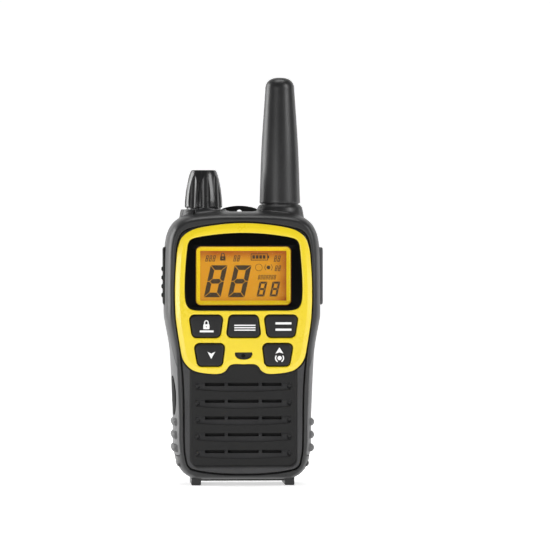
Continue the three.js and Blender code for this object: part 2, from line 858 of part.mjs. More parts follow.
// A narrow upright slot let into a round piece, turned about its axis from the front
function radialSlot(x, turn, radius, width, sink, low, high) {
  const geometry = new THREE.BoxGeometry(width, 2 * sink + overrun, high - low);
  geometry.translate(0, -radius - overrun / 2, (low + high) / 2);
  return solid(geometry.rotateZ(turn).translate(x, collarLine, 0));
}

// Windows and pockets in both sides: the talk key's, the jack cover's, the grips' and the charge cover's
function sideCuts() {
  const window = alongX(
    inset(sideKeyOutline, -keyGap),
    caseHalfWidth - caseWall - overrun,
    sideKeyReach + overrun,
  );
  const recess = alongX(inset(sideKeyOutline, -keyGap), coverFloor, sideKeyReach + overrun);
  const grip = cut(sidePrism(inset(gripOutline, -seatGap)), caseForm(-gripThickness - seatGap));
  const oval = cut(sidePrism(chargeOutline(seatGap)), caseForm(-gripThickness - seatGap));
  const jackHoles = jackHeights.map((z) =>
    alongX(
      circle(depth(jackDepth), z, jackRadius + seatGap, 14),
      caseHalfWidth - caseWall - overrun,
      coverFloor + overrun,
    ),
  );
  const chargeHole = alongX(
    circle(depth(chargeJackDepth), chargeCentreHeight, chargeJackRadius + seatGap, 14),
    chargeJackFront - overrun,
    caseHalfWidth,
  );
  const onLeft = [window, grip, oval, chargeHole].map(mirrored);
  return [recess, grip, ...onLeft, ...jackHoles];
}

const everything = 2 * antennaTop;
const slab = (d0, d1, z0 = -everything, z1 = everything) =>
  box(-everything, everything, depth(d0), depth(d1), z0, z1);

const frontCase = (whole) => common(whole, slab(-everything, partingDepth - partingGap / 2));

// The rear casing: back half of the shell, with the battery bay let into it and the door's seat cut away
function rearCase(whole) {
  const front = partingDepth + partingGap / 2;
  const block = common(
    alongY(inset(hollowOutline, caseWall - wallLap), depth(front), depth(bayBack)),
    slab(front, bayBack, -everything, doorTop + bayFloor),
  );
  const bay = box(-bayHalfWidth, bayHalfWidth, depth(front + bayFloor), depth(caseDepth), bayBottom, bayTop);
  const seat = slab(bayBack, everything, -everything, doorTop + seatGap);
  const grooves = [-railPlace, railPlace].map((x) =>
    box(
      x - railWidth / 2 - seatGap,
      x + railWidth / 2 + seatGap,
      depth(bayBack - railHeight - seatGap),
      depth(bayBack) + overrun,
      -overrun,
      doorTop - railEnd + seatGap,
    ),
  );
  const holes = screwPlaces.map((place) => screwHole(...place));
  return cut(join(common(whole, slab(front, everything)), block), bay, seat, ...grooves, ...holes);
}

// The front panel: a rim band round the sunk speaker panel, a shelf for the face plate, and the louvres
const bezelOutline = mirroredOutline(
  bezelOutlineShares.map(([x, z]) => [x * bezelHalfWidth, onBezel(z)]),
  bezelOutlineSteps,
);
const windowOutline = mirroredOutline(
  windowOutlineShares.map(([x, z]) => [
    x * windowHalfWidth,
    windowBottom + z * (windowTop - windowBottom),
  ]),
  windowOutlineSteps,
);
const displayOutline = (growth, corner = displayCorner + growth) =>
  roundedBox(
    -displayHalfWidth - growth,
    displayCentre - displayHalfHeight - growth,
    displayHalfWidth + growth,
    displayCentre + displayHalfHeight + growth,
    corner,
  );
const micOutline = roundedOutline(
  [
    [-micHalfWidth * micFloorShare, micTop - micHeight],
    [micHalfWidth * micFloorShare, micTop - micHeight],
    [micHalfWidth, micTop],
    [-micHalfWidth, micTop],
  ],
  micCorner,
  2,
);

// One louvre row, cut in pieces that leave the ribs: each a scoop that slopes in from a bowed lower lip
// to a straight upper edge, under which the middle and side pieces run through as a slot.
function louvreRow(top) {
  const low = top - louvreHeight;
  const bow = mirroredRow(low);
  const front = depth(panelRecess) - overrun;
  const slope = (overrun * louvreHeight) / louvreScoop;
  const wedge = alongX(
    [
      point(front, low - louvreBow - slope),
      point(depth(panelRecess + louvreScoop), top),
      point(front, top),
    ],
    -louvreHalfWidth - overrun,
    louvreHalfWidth + overrun,
  );
  const row = common(alongY(bow, front, depth(panelThickness)), wedge);
  const middleEdge = louvreMiddle;
  const sideStart = middleEdge + louvreRib;
  const endStart = louvreSide + louvreEndRib;
  const pieces = [
    [-middleEdge, middleEdge, true],
    [sideStart, louvreSide, true],
    [-louvreSide, -sideStart, true],
    [endStart, louvreHalfWidth, false],
    [-louvreHalfWidth, -endStart, false],
  ];
  return pieces.flatMap(([x0, x1, through]) => {
    const piece = common(row, box(x0, x1, -everything, everything, 0, top + overrun));
    const slot = box(x0, x1, front, depth(panelThickness) + overrun, top - louvreSlot, top);
    return through ? [piece, slot] : [piece];
  });
}

// A row's outline in the front view: straight on top, an arc bowed down below
function mirroredRow(low) {
  const top = low + louvreHeight;
  const end = louvreHalfWidth;
  const arc = Array.from({ length: louvreSteps + 1 }, (_, k) => {
    const share = (2 * k) / louvreSteps - 1;
    return point(share * end * louvreLipShare, low - louvreBow * (1 - share * share));
  });
  return [...arc, point(end, top), point(-end, top)];
}

function frontPanel() {
  const plate = alongY(inset(openingOutline, panelGap), rimPlane, depth(panelThickness));
  const shelf = join(
    alongY(inset(bezelOutline, -bezelGap), rimPlane - overrun, depth(shelfDepth)),
    ...[-1, 1].map((side) =>
      box(
        side > 0 ? shelfSide : -everything,
        side > 0 ? everything : -shelfSide,
        rimPlane - overrun,
        depth(shelfDepth),
        shelfSideLow,
        everything,
      ),
    ),
  );
  const sunk = alongY(
    roundedBox(
      -grilleHalfWidth,
      grilleBottom,
      grilleHalfWidth,
      bezelBottom + grilleUnder,
      grilleCorner,
    ),
    rimPlane - overrun,
    depth(panelRecess),
  );
  const louvres = Array.from({ length: louvreCount }, (_, row) => louvreRow(louvreTop - row * louvrePitch));
  const keyHoles = keys.map((key) =>
    alongY(inset(key.outline, -keyGap), rimPlane, depth(panelThickness) + overrun),
  );
  return cut(
    plate,
    shelf,
    sunk,
    ...louvres.flat(),
    ...keyHoles,
    alongY(displayOutline(glassMargin + seatGap), rimPlane, depth(panelThickness) + overrun),
    alongY(circle(0, micHoleHeight, micHoleRadius, 12), rimPlane, depth(panelThickness) + overrun),
  );
}

// The face plate, with bevelled edges, the window's opening, five key pockets and the microphone's scoop
function faceBezel() {
  const front = depth(-bezelProud);
  const back = depth(bezelThickness - bezelProud);
  const bevel = bezelEdge * bezelBevelShare;
  const plate = moulding([
    [front, inset(bezelOutline, bezelEdge)],
    [front + bevel, inset(bezelOutline, bevel * (1 - bezelBevelShare))],
    [front + bezelEdge + bezelEdge / 2, bezelOutline],
    [back, bezelOutline],
  ]);
  const pockets = keys.map((key) =>
    moulding([
      [front - overrun, inset(key.outline, -keyGap - keyPocketWidth - overrun)],
      [front + keyPocketWidth, inset(key.outline, -keyGap)],
      [back + overrun, inset(key.outline, -keyGap)],
    ]),
  );
  const window = moulding([
    [front - overrun, inset(windowOutline, -windowGap - windowBevel - overrun)],
    [front + windowBevel, inset(windowOutline, -windowGap)],
    [back + overrun, inset(windowOutline, -windowGap)],
  ]);
  const scoop = alongY(micOutline, front - overrun, front + bezelThickness / 2);
  const hole = alongY(circle(0, micHoleHeight, micHoleRadius, 12), front, back + overrun);
  return cut(plate, window, ...pockets, scoop, hole);
}

function windowSurround() {
  const front = depth(windowSink - bezelProud);
  const back = depth(bezelThickness - bezelProud);
  const plate = moulding([
    [front, inset(windowOutline, windowEdge)],
    [front + windowEdge, windowOutline],
    [back, windowOutline],
  ]);
  return cut(plate, alongY(displayOutline(windowGap), front - overrun, back + overrun));
}

const windowPane = () => alongY(displayOutline(0), depth(paneFront), depth(paneFront + paneThickness));

// The bevel round the display slopes back from its outer to its inner edge.
function displayBevel() {
  const front = depth(paneFront + paneThickness + seatGap);
  const back = front + displayBevelDepth;
  const frame = alongY(displayOutline(0), front, back);
  const slope = (displayBevelWidth - bevelLand) / displayBevelDepth;
  const opening = moulding([
    [front - overrun, displayOutline(slope * overrun - bevelLand)],
    [back + overrun, displayOutline(-displayBevelWidth - slope * overrun, bevelLand)],
  ]);
  return cut(frame, opening);
}

const displayGlass = () =>
  alongY(displayOutline(glassMargin), depth(glassDepth), depth(glassDepth + glassThickness));

// The light guide: a block with a lit face, and pads at its corners that stand on the board
function displayLightGuide() {
  const front = depth(glassDepth + glassThickness + seatGap);
  const back = depth(boardDepth - seatGap);
  const block = alongY(displayOutline(glassMargin), front, back);
  const hollow = alongY(displayOutline(-guideWall), front + guideFace, back + overrun);
  return cut(block, hollow);
}

function keyCap(key) {
  const front = depth(-bezelProud - keyProud);
  const back = depth(panelThickness + seatGap);
  const flange = back + keyFlangeThickness;
  const cap = moulding([
    [front, inset(key.outline, keyEdge * 2)],
    [front + keyEdge / 4, inset(key.outline, keyEdge)],
    [front + keyEdge, key.outline],
    [flange, key.outline],
  ]);
  return join(cap, alongY(inset(key.outline, -keyFlange), back, flange));
}

function keypadMat() {
  const front = depth(panelThickness + seatGap + keyFlangeThickness + keyTravel + seatGap);
  const sheet = alongY(
    roundedBox(-matHalfWidth, matLow, matHalfWidth, matHigh, keyCorner),
    front,
    front + matThickness,
  );
  const pillars = keys.map((key) =>
    alongY(
      circle(key.centre.x, key.centre.y, pillarRadius, 8),
      front,
      depth(boardDepth - domeHeight - seatGap),
    ),
  );
  const hole = alongY(
    circle(0, micHoleHeight, micRadius + seatGap, 14),
    front - overrun,
    front + matThickness + overrun,
  );
  return cut(join(sheet, ...pillars), hole);
}

// The board, with a metal dome under each key
function mainBoard() {
  const plate = alongY(
    [
      point(-boardHalfWidth, boardLow),
      point(boardHalfWidth, boardLow),
      point(boardHalfWidth, boardShoulder),
      point(boardHeadHalfWidth, boardShoulder),
      point(boardHeadHalfWidth, boardHigh),
      point(-boardHeadHalfWidth, boardHigh),
      point(-boardHeadHalfWidth, boardShoulder),
      point(-boardHalfWidth, boardShoulder),
    ],
    depth(boardDepth),
    depth(boardBack),
  );
  const domes = keys.map((key) =>
    revolvedAlongY(
      [
        [0, depth(boardDepth - domeHeight)],
        [domeRadius / 2, depth(boardDepth - domeHeight * domeShoulderShare)],
        [domeRadius, depth(boardDepth)],
        [domeRadius, depth(boardBack - boardThickness / 2)],
        [0, depth(boardBack - boardThickness / 2)],
      ],
      key.centre.x,
      key.centre.y,
      8,
    ),
  );
  return join(plate, ...domes);
}

function shieldCan() {
  const back = depth(boardBack + seatGap + canHeight);
  const outline = roundedBox(-canHalfWidth, canLow, canHalfWidth, canHigh, canCorner, 2);
  const can = alongY(outline, depth(boardBack + seatGap), back);
  const hollow = alongY(inset(outline, canWall), depth(boardBack) - overrun, back - canWall);
  return cut(can, hollow);
}

function talkSwitch() {
  const front = depth(boardBack + seatGap);
  return box(
    -switchFace,
    -switchFace + switchLength,
    front,
    depth(jackDepth) + switchHalf,
    sideKeyMiddle - switchHalf,
    sideKeyMiddle + switchHalf,
  );
}

// The talk key: a soft pad with cross ribs in its window, held in by a flange behind the wall
function talkKey() {
  const pad = moulding(
    [
      [talkFlangeReach - talkFlangeThickness, sideKeyOutline],
      [sideKeyReach - talkRib - padEdge, sideKeyOutline],
      [sideKeyReach - talkRib, inset(sideKeyOutline, padEdge)],
    ],
    sideways,
  );
  const flange = alongX(
    inset(sideKeyOutline, -talkFlangeWidth),
    talkFlangeReach - talkFlangeThickness,
    talkFlangeReach,
  );
  const [ribFront, ribBack] = [depth(sideKeyFront + talkRibInset), depth(sideKeyBack - talkRibInset)];
  const ribs = Array.from({ length: talkRibCount }, (_, k) => {
    const z = talkRibLow + talkRibPitch * k;
    const half = talkRib;
    return moulding(
      [
        [
          sideKeyReach - talkRib - padEdge,
          roundedBox(ribFront, z - 2 * half, ribBack, z + 2 * half, half, 1),
        ],
        [
          sideKeyReach,
          roundedBox(ribFront + half, z - half, ribBack - half, z + half, half / 2, 1),
        ],
      ],
      sideways,
    );
  });
  return mirrored(join(pad, flange, ...ribs));
}

// A lid on a knuckle: the plate ends at the knuckle's axis, and the knuckle is as thick as the plate.
function jackCover() {
  const radius = coverThickness / 2;
  const axisDepth = sideKeyBack - radius;
  const plate = common(
    moulding(
      [
        [sideKeyReach - coverThickness, sideKeyOutline],
        [sideKeyReach - padEdge, sideKeyOutline],
        [sideKeyReach, inset(sideKeyOutline, padEdge)],
      ],
      sideways,
    ),
    slab(-everything, axisDepth),
  );
  const pull = alongX(
    roundedBox(
      depth(sideKeyFront) + coverPull,
      sideKeyLow + coverPull,
      depth(sideKeyFront) + 2 * coverPull,
      sideKeyHigh - coverPull,
      coverPull / 3,
      2,
    ),
    sideKeyReach - padEdge / 2,
    sideKeyReach + overrun,
  );
  const knuckle = alongZ(
    circle(sideKeyReach - radius, depth(axisDepth), radius, 16),
    sideKeyMiddle - coverKnuckle / 2,
    sideKeyMiddle + coverKnuckle / 2,
  );
  return cut(join(plate, knuckle), pull);
}

// A rubber inlay that follows the casing's side, with grip ribs low down
function sideGrip() {
  const patch = cut(common(caseForm(0), sidePrism(gripOutline)), caseForm(-gripThickness));
  const surface = caseHalfWidth * gripSideShare;
  const ribs = Array.from({ length: gripRibCount }, (_, k) => {
    const z = gripRibLow + gripRibPitch * k;
    const outline = circle(surface + gripRibProud - gripRibRadius, z, gripRibRadius, 12);
    return moulding([
      [depth(gripFront + gripRibInset), outline.map((p) => point(p.x - gripRibProud, p.y))],
      [depth(gripFront + 2 * gripRibInset), outline],
      [depth(gripBack - 2 * gripRibInset), outline],
      [depth(gripBack - gripRibInset), outline.map((p) => point(p.x - gripRibProud, p.y))],
    ]);
  });
  return join(patch, ...ribs.map((rib) => cut(rib, caseForm(-gripThickness))));
}

// A round bar on the charge cover's hinge line, which lies along its back edge
const chargeHingeDepth = chargeCentreDepth + chargeHalfDepth - chargeKnuckle;
const chargeHingePlace = caseHalfWidth * chargeSideShare + chargeProud - chargeKnuckle;
const chargeBar = (radius, halfLength, sides) =>
  alongZ(
    circle(chargeHingePlace, depth(chargeHingeDepth), radius, sides),
    chargeCentreHeight - halfLength,
    chargeCentreHeight + halfLength,
  );

// The left inlay has the cover's opening, with room behind its hinge for the cover to swing out.
function leftGrip() {
  const room = chargeBar(chargeKnuckle + chargeProud + seatGap, chargeHalfHeight * chargeRoomShare, 16);
  return mirrored(cut(sideGrip(), sidePrism(chargeOutline(seatGap)), room));
}

// The oval cover on the left side, on a knuckle at its back edge
function chargeCover() {
  const patch = common(
    cut(common(caseForm(chargeProud), sidePrism(chargeOutline(0))), caseForm(-gripThickness)),
    slab(-everything, chargeHingeDepth),
  );
  return mirrored(join(patch, chargeBar(chargeKnuckle, chargeHalfHeight / 3, 12)));
}

function jackSocket(z, boreRadius) {
  const block = box(
    jackInner,
    jackOuter,
    depth(boardBack + seatGap),
    depth(jackDepth) + jackHalf,
    z - jackHalf,
    z + jackHalf,
  );
  const nose = alongX(
    circle(depth(jackDepth), z, jackRadius, 14),
    jackOuter - overrun,
    coverFloor - seatGap,
  );
  const hole = alongX(circle(depth(jackDepth), z, boreRadius, 12), jackInner + jackHalf / 2, coverFloor);
  return cut(join(block, nose), hole);
}

function chargeSocket() {
  const block = box(
    chargeJackBack,
    chargeJackFront,
    depth(chargeJackDepth) - chargeJackHalf,
    depth(chargeJackDepth) + chargeJackHalf,
    chargeCentreHeight - chargeJackHalf,
    chargeCentreHeight + chargeJackHalf,
  );
  const reach = caseHalfWidth * gripSideShare - gripThickness - 2 * seatGap;
  const nose = alongX(
    circle(depth(chargeJackDepth), chargeCentreHeight, chargeJackRadius, 14),
    chargeJackFront - overrun,
    reach,
  );
  const hole = alongX(
    circle(depth(chargeJackDepth), chargeCentreHeight, chargeJackRadius * chargeBoreShare, 12),
    chargeJackBack + chargeJackHalf / 2,
    caseHalfWidth,
  );
  return mirrored(cut(join(block, nose), hole));
}

// The knob: a tapering turned body with concave flutes, whose tops end in points where the body narrows
function volumeKnob() {
  const base = collarTop + knobLift;
  const socket = base + knobHeight * knobSocketShare;
  const inner = shaftRadius + shaftGap;
  const outer = knobProfileShares.map(([r, z]) => [r * knobBaseRadius, base + z * knobHeight]);
  const body = revolved(
    [
      [0, socket],
      [inner, socket],
      [inner, base],
      [knobBaseRadius - knobChamfer, base],
      ...outer,
      [0, outer.at(-1)[1]],
    ],
    -collarSpread,
    collarLine,
    knobSegments,
  );
  const flutes = Array.from({ length: fluteCount }, (_, k) => {
    const angle = (2 * Math.PI * (k + flutePhaseShare)) / fluteCount - Math.PI / 2;
    const reach = knobBaseRadius - fluteDepth + fluteRadius;
    const cutter = new THREE.CylinderGeometry(fluteRadius, fluteRadius, 2 * knobHeight, fluteSegments);
    cutter.rotateX(Math.PI / 2).rotateY(-fluteLean).translate(reach, 0, base);
    cutter.rotateZ(angle).translate(-collarSpread, collarLine, 0);
    return solid(cutter);
  });
  const pointer = radialSlot(
    -collarSpread,
    (2 * Math.PI * (flutePhaseShare - 0.5)) / fluteCount,
    knobBaseRadius,
    pointerWidth,
    pointerDepth,
    base - overrun,
    base + knobHeight * pointerShare,
  );
  return cut(body, ...flutes, pointer);
}

const volumeShaft = () =>
  revolved(
    [
      [0, shaftFoot],
      [shaftRadius, shaftFoot],
      [shaftRadius, collarTop + knobLift + knobHeight * knobSocketShare - seatGap],
      [0, collarTop + knobLift + knobHeight * knobSocketShare - seatGap],
    ],
    -collarSpread,
    collarLine,
    boreSegments,
  );

const topBlock = (x, halfWidth, low, high) =>
  box(x - halfWidth, x + halfWidth, depth(boardBack + seatGap), collarLine + halfWidth, low, high);

// The antenna's rubber sheath: closed dome, gentle taper, and a blind bore for the core
function antennaSheath() {
  const base = spigotTop + antennaLift;
  const length = antennaTop - antennaDome - base;
  const side = antennaProfileShares.map(([r, z]) => [
    antennaTipRadius + r * (antennaBaseRadius - antennaTipRadius),
    base + z * length,
  ]);
  const dome = domeShares.map((share) => [
    antennaTipRadius * Math.cos((share * Math.PI) / 2),
    antennaTop - antennaDome + antennaDome * Math.sin((share * Math.PI) / 2),
  ]);
  const inner = coreRadius + seatGap;
  return revolved(
    [[0, coreTop + seatGap], [inner, coreTop + seatGap], [inner, base], ...side, ...dome, [0, antennaTop]],
    collarSpread,
    collarLine,
    antennaSegments,
  );
}

const antennaCore = () =>
  join(
    topBlock(collarSpread, coreBlockHalf, coreBlockLow, shaftFoot),
    revolved(
      [[0, shaftFoot - overrun], [coreRadius, shaftFoot - overrun], [coreRadius, coreTop], [0, coreTop]],
      collarSpread,
      collarLine,
      boreSegments,
    ),
  );

const volumeControl = () =>
  topBlock(-collarSpread, controlHalf, controlLow, shaftFoot - seatGap);

const speakerFront = panelThickness + seatGap + clothThickness + seatGap;

// The speaker's basket steps down to its magnet; its front is open for the cone.
const speakerBasket = () =>
  revolvedAlongY(
    [
      [0, depth(speakerFront + speakerRim + coneRise)],
      [magnetRadius - speakerRim, depth(speakerFront + speakerRim + coneRise)],
      [speakerRadius - 2 * speakerRim, depth(speakerFront)],
      [speakerRadius, depth(speakerFront)],
      [speakerRadius, depth(speakerFront + speakerRim)],
      [magnetRadius, depth(speakerFront + 2 * speakerRim + coneRise)],
      [magnetRadius, depth(partingDepth - partingGap)],
      [0, depth(partingDepth - partingGap)],
    ],
    0,
    speakerHeight,
    24,
  );

const speakerCone = () =>
  revolvedAlongY(
    [
      [0, depth(speakerFront + coneRise)],
      [magnetRadius - 2 * speakerRim, depth(speakerFront + coneRise)],
      [speakerRadius - coneEdge, depth(speakerFront)],
      [speakerRadius - coneEdge - seatGap, depth(speakerFront)],
      [magnetRadius - 2 * speakerRim - seatGap, depth(speakerFront + coneRise - coneSkin)],
      [0, depth(speakerFront + coneRise - coneSkin)],
    ].reverse(),
    0,
    speakerHeight,
    24,
  );

const speakerCloth = () =>
  alongY(
    roundedBox(
      -grilleHalfWidth,
      grilleBottom,
      grilleHalfWidth,
      clothTop,
      grilleCorner,
      3,
    ),
    depth(panelThickness + seatGap),
    depth(panelThickness + seatGap + clothThickness),
  );

const microphone = () =>
  alongY(
    circle(0, micHoleHeight, micRadius, 16),
    depth(panelThickness + seatGap),
    depth(boardDepth - seatGap),
  );

// The battery door: the back of the casing's lower part, with guide rails and a thumb-ribbed snap tongue
function batteryDoor() {
  const inner = bayBack + seatGap;
  const panel = common(caseForm(0), slab(inner, everything, -everything, doorTop));
  const rails = [-railPlace, railPlace].map((x) =>
    box(
      x - railWidth / 2,
      x + railWidth / 2,
      depth(bayBack - railHeight),
      depth(inner) + doorThickness / 2,
      bayBottom + railEnd,
      doorTop - railEnd,
    ),
  );
  const slits = [-1, 1].map((side) =>
    box(
      side * tongueHalfWidth - tongueSlit / 2,
      side * tongueHalfWidth + tongueSlit / 2,
      depth(inner) - overrun,
      depth(caseDepth) + overrun,
      doorTop - tongueLength,
      doorTop + overrun,
    ),
  );
  const grooves = Array.from({ length: tongueGrooves }, (_, k) => {
    const z = doorTop - tongueLength / 2 + (k - (tongueGrooves - 1) / 2) * tongueGroovePitch;
    return box(
      -tongueHalfWidth + tongueSlit,
      tongueHalfWidth - tongueSlit,
      depth(caseDepth - tongueGrooveDepth),
      depth(caseDepth) + overrun,
      z - tongueGrooveDepth / 2,
      z + tongueGrooveDepth / 2,
    );
  });
  return cut(join(panel, ...rails), ...slits, ...grooves);
}

const cellDepth = bayFront + cellGap + cellRadius;
const cellPlaces = Array.from(
  { length: cellCount },
  (_, k) => (k - (cellCount - 1) / 2) * (2 * cellRadius + cellGap),
);

// A cell: can, shoulder and nub; every second one stands head down
function batteryCell(x, flipped) {
  const low = plateLow + contactThickness + (flipped ? cellGap : contactReach + cellGap);
  const profile = [
    [0, 0],
    [cellRadius - cellShoulder, 0],
    [cellRadius, cellShoulder],
    [cellRadius, cellLength - cellShoulder],
    [cellRadius - cellShoulder, cellLength],
    [cellNubRadius, cellLength],
    [cellNubRadius, cellLength + cellNubHeight],
    [0, cellLength + cellNubHeight],
  ];
  const turned = flipped
    ? profile.map(([r, z]) => [r, low + cellLength + cellNubHeight - z]).reverse()
    : profile.map(([r, z]) => [r, low + z]);
  return revolved(turned, x, depth(cellDepth), cellSegments);
}

// A contact plate across the bay's end, with a stepped spring where a cell's flat end meets it
function contactPlate(low, upwards, springs) {
  const plate = box(
    -bayHalfWidth + seatGap,
    bayHalfWidth - seatGap,
    depth(cellDepth) - contactHalfDepth,
    depth(cellDepth) + contactHalfDepth,
    low,
    low + contactThickness,
  );
  const face = upwards ? low + contactThickness : low;
  const way = upwards ? 1 : -1;
  const cones = springs.map((x) => {
    const profile = contactStepShares.map(([r, z]) => [r * contactRadius, face + way * z * contactReach]);
    return revolved(upwards ? profile : profile.reverse(), x, depth(cellDepth), roundSegments);
  });
  return join(plate, ...cones);
}

// The belt clip, in the side view: thumb tab, arm, and a nose that reaches back to the door
const clipInner = caseDepth + clipGap;
const clipOuter = clipInner + clipThickness;
const pinDepth = caseDepth + bracketThickness + seatGap + clipHubRadius;
const earInner = clipHalfWidth + clipEarGap;
const earOuter = earInner + clipEarThickness;
function beltClip() {
  const side = roundedOutline(
    [
      [depth(clipInner), clipTop + overrun],
      [depth(clipInner), clipBottom + clipNoseHeight],
      [depth(caseDepth + seatGap), clipBottom + clipNoseRise],
      [depth(caseDepth + seatGap), clipBottom + clipNoseRise / 2],
      [depth(caseDepth + clipGap / 2), clipBottom],
      [depth(clipOuter - clipThickness / 3), clipBottom],
      [depth(clipOuter), clipBottom + clipNoseRise],
      [depth(clipOuter), clipTop + overrun],
    ],
    clipCorner,
    3,
  );
  const face = mirroredOutline(
    clipOutlineShares.map(([x, z]) => [
      x * (clipTipHalfWidth + (clipHalfWidth - clipTipHalfWidth) * z),
      clipBottom + z * (clipTop - clipBottom),
    ]),
    clipOutlineSteps,
  );
  const arm = common(
    alongX(side, -clipHalfWidth, clipHalfWidth),
    alongY(face, depth(caseDepth), depth(clipOuter + overrun)),
  );
  const hub = alongX(
    circle(depth(pinDepth), clipPinHeight, clipHubRadius, 14),
    -clipHalfWidth,
    clipHalfWidth,
  );
  const pinHole = alongX(
    circle(depth(pinDepth), clipPinHeight, clipPinRadius + clipPinGap, 10),
    -clipHalfWidth - overrun,
    clipHalfWidth + overrun,
  );
  const coilRoom = alongX(
    circle(depth(pinDepth), clipPinHeight, springCoilRadius + springWire + seatGap, 16),
    -coilHalf,
    coilHalf,
  );
  const eye = alongY(
    circle(0, eyeHeight, eyeRadius, 14),
    depth(clipInner) - overrun,
    depth(clipOuter) + overrun,
  );
  const flute = alongX(
    circle(depth(clipOuter + thumbRadius - thumbSink), clipPinHeight + thumbRise, thumbRadius, 24),
    -thumbHalf,
    thumbHalf,
  );
  return cut(join(arm, hub), pinHole, coilRoom, eye, flute);
}

function clipBracket() {
  const plate = alongY(
    roundedBox(-bracketHalfWidth, bracketLow, bracketHalfWidth, bracketHigh, bracketCorner, 3),
    depth(caseDepth),
    depth(caseDepth + bracketThickness),
  );
  const ear = join(
    alongX(circle(depth(pinDepth), clipPinHeight, clipHubRadius, 14), earInner, earOuter),
    box(
      earInner,
      earOuter,
      depth(caseDepth),
      depth(pinDepth),
      clipPinHeight - clipHubRadius,
      clipPinHeight + clipHubRadius,
    ),
  );
  const hole = alongX(
    circle(depth(pinDepth), clipPinHeight, clipPinRadius + clipPinGap, 10),
    -earOuter - overrun,
    earOuter + overrun,
  );
  return cut(join(plate, ear, mirrored(ear)), hole);
}

const clipPin = () => alongX(circle(depth(pinDepth), clipPinHeight, clipPinRadius, 10), -earOuter, earOuter);

// The torsion spring: a leg along the bracket, close turns round the pin, a leg to the tab
function clipSpring() {
  const radius = springCoilRadius;
  const start = -(springTurns * springPitch) / 2;
  const centre = depth(pinDepth);
  const coil = Array.from({ length: springTurns * springSteps + 1 }, (_, k) => {
    const turn = k / springSteps;
    const angle = Math.PI + 2 * Math.PI * turn;
    return new THREE.Vector3(
      start + turn * springPitch,
      centre + radius * Math.cos(angle),
      clipPinHeight - radius * Math.sin(angle),
    );
  });
  const front = centre - radius;
  const end = start + springTurns * springPitch;
  const route = new THREE.CatmullRomCurve3([
    new THREE.Vector3(start, front, clipPinHeight - springLeg),
    new THREE.Vector3(start, front, clipPinHeight - springLeg / 2),
    ...coil,
    new THREE.Vector3(end, front + springLean / 3, clipPinHeight + springLeg / 2),
    new THREE.Vector3(end, front + springLean, clipPinHeight + springLeg),
  ]);
  const steps = springTurns * springSteps + 2 * springLegSteps;
  const section = new THREE.Shape(circle(0, 0, springWire / 2, 5));
  console.log("Least gap of the spring to itself, mm:", leastGap(route, steps, springWire).toFixed(2));
  return solid(new THREE.ExtrudeGeometry(section, { steps, extrudePath: route, bevelEnabled: false }));
}

// The least gap of a tube to itself, between points of its centre line that lie half a curl or more apart
function leastGap(route, steps, thickness) {
  const points = route.getPoints(4 * steps);
  const apart = 2 * springSteps;
  const gaps = points.flatMap((here, i) => points.slice(i + apart).map((there) => here.distanceTo(there)));
  return Math.min(...gaps) - thickness;
}

function caseScrew(x, z, face) {
  const seat = depth(face - screwHeadHeight - screwSink) + screwSink;
  return revolvedAlongY(
    [
      [0, depth(screwTip)],
      [screwRadius, depth(screwTip)],
      [screwRadius, seat],
      [screwHeadRadius, seat],
      [screwHeadRadius, seat + screwHeadHeight],
      [0, seat + screwHeadHeight],
    ],
    x,
    z,
    12,
  );
}

const finish = (color, roughness, metalness = 0) =>
  new THREE.MeshStandardMaterial({ color, roughness, metalness });
const finishes = {
  casing: finish(0x3c3c3e, 0.55),
  panel: finish(0x2d2d2f, 0.6),
  yellow: finish(0xf0d73c, 0.3),
  blackGloss: finish(0x0a0a0a, 0.1),
  gold: finish(0xdcb432, 0.3, 0.4),
  pane: finish(0xd8dcd8, 0.05),
  glass: finish(0xe0a83c, 0.2),
  guide: finish(0xf2e3b0, 0.4),
  key: finish(0x303032, 0.6),
  rubber: finish(0x1c1c1e, 0.85),
  sheath: finish(0x3e3e40, 0.7),
  knob: finish(0x28282a, 0.3),
  board: finish(0x1f5a33, 0.5),
  steel: finish(0xb8bcc0, 0.35, 0.9),
  paper: finish(0x202022, 0.9),
  cell: finish(0x7f8a94, 0.4, 0.3),
  clip: finish(0x0d0d0e, 0.4),
};

const radio = new THREE.Group();

function add(name, shape, material) {
  const mesh = new THREE.Mesh(geometryOf(shape), material);
  mesh.name = name;
  radio.add(mesh);
}

const whole = casing();
add("front_case", frontCase(whole), finishes.casing);
add("rear_case", rearCase(whole), finishes.casing);
add("front_panel", frontPanel(), finishes.panel);
add("face_bezel", faceBezel(), finishes.yellow);
add("window_surround", windowSurround(), finishes.blackGloss);
add("window_pane", windowPane(), finishes.pane);
add("display_bevel", displayBevel(), finishes.gold);
add("display_glass", displayGlass(), finishes.glass);
add("display_light_guide", displayLightGuide(), finishes.guide);
keys.forEach((item) => add(item.name, keyCap(item), finishes.key));
add("keypad_mat", keypadMat(), finishes.rubber);
add("main_board", mainBoard(), finishes.board);
add("shield_can", shieldCan(), finishes.steel);
add("speaker_basket", speakerBasket(), finishes.steel);
add("speaker_cone", speakerCone(), finishes.paper);
add("speaker_cloth", speakerCloth(), finishes.paper);
add("microphone", microphone(), finishes.steel);
add("talk_key", talkKey(), finishes.rubber);
add("talk_switch", talkSwitch(), finishes.key);
add("side_grip_left", leftGrip(), finishes.rubber);
add("side_grip_right", sideGrip(), finishes.rubber);
add("jack_cover", jackCover(), finishes.rubber);
add("jack_socket_lower", jackSocket(jackHeights[0], jackBores[0]), finishes.key);
add("jack_socket_upper", jackSocket(jackHeights[1], jackBores[1]), finishes.key);
add("charge_cover", chargeCover(), finishes.rubber);
add("charge_socket", chargeSocket(), finishes.key);
add("volume_knob", volumeKnob(), finishes.knob);
add("volume_shaft", volumeShaft(), finishes.steel);
add("volume_control", volumeControl(), finishes.steel);
add("antenna_sheath", antennaSheath(), finishes.sheath);
add("antenna_core", antennaCore(), finishes.steel);
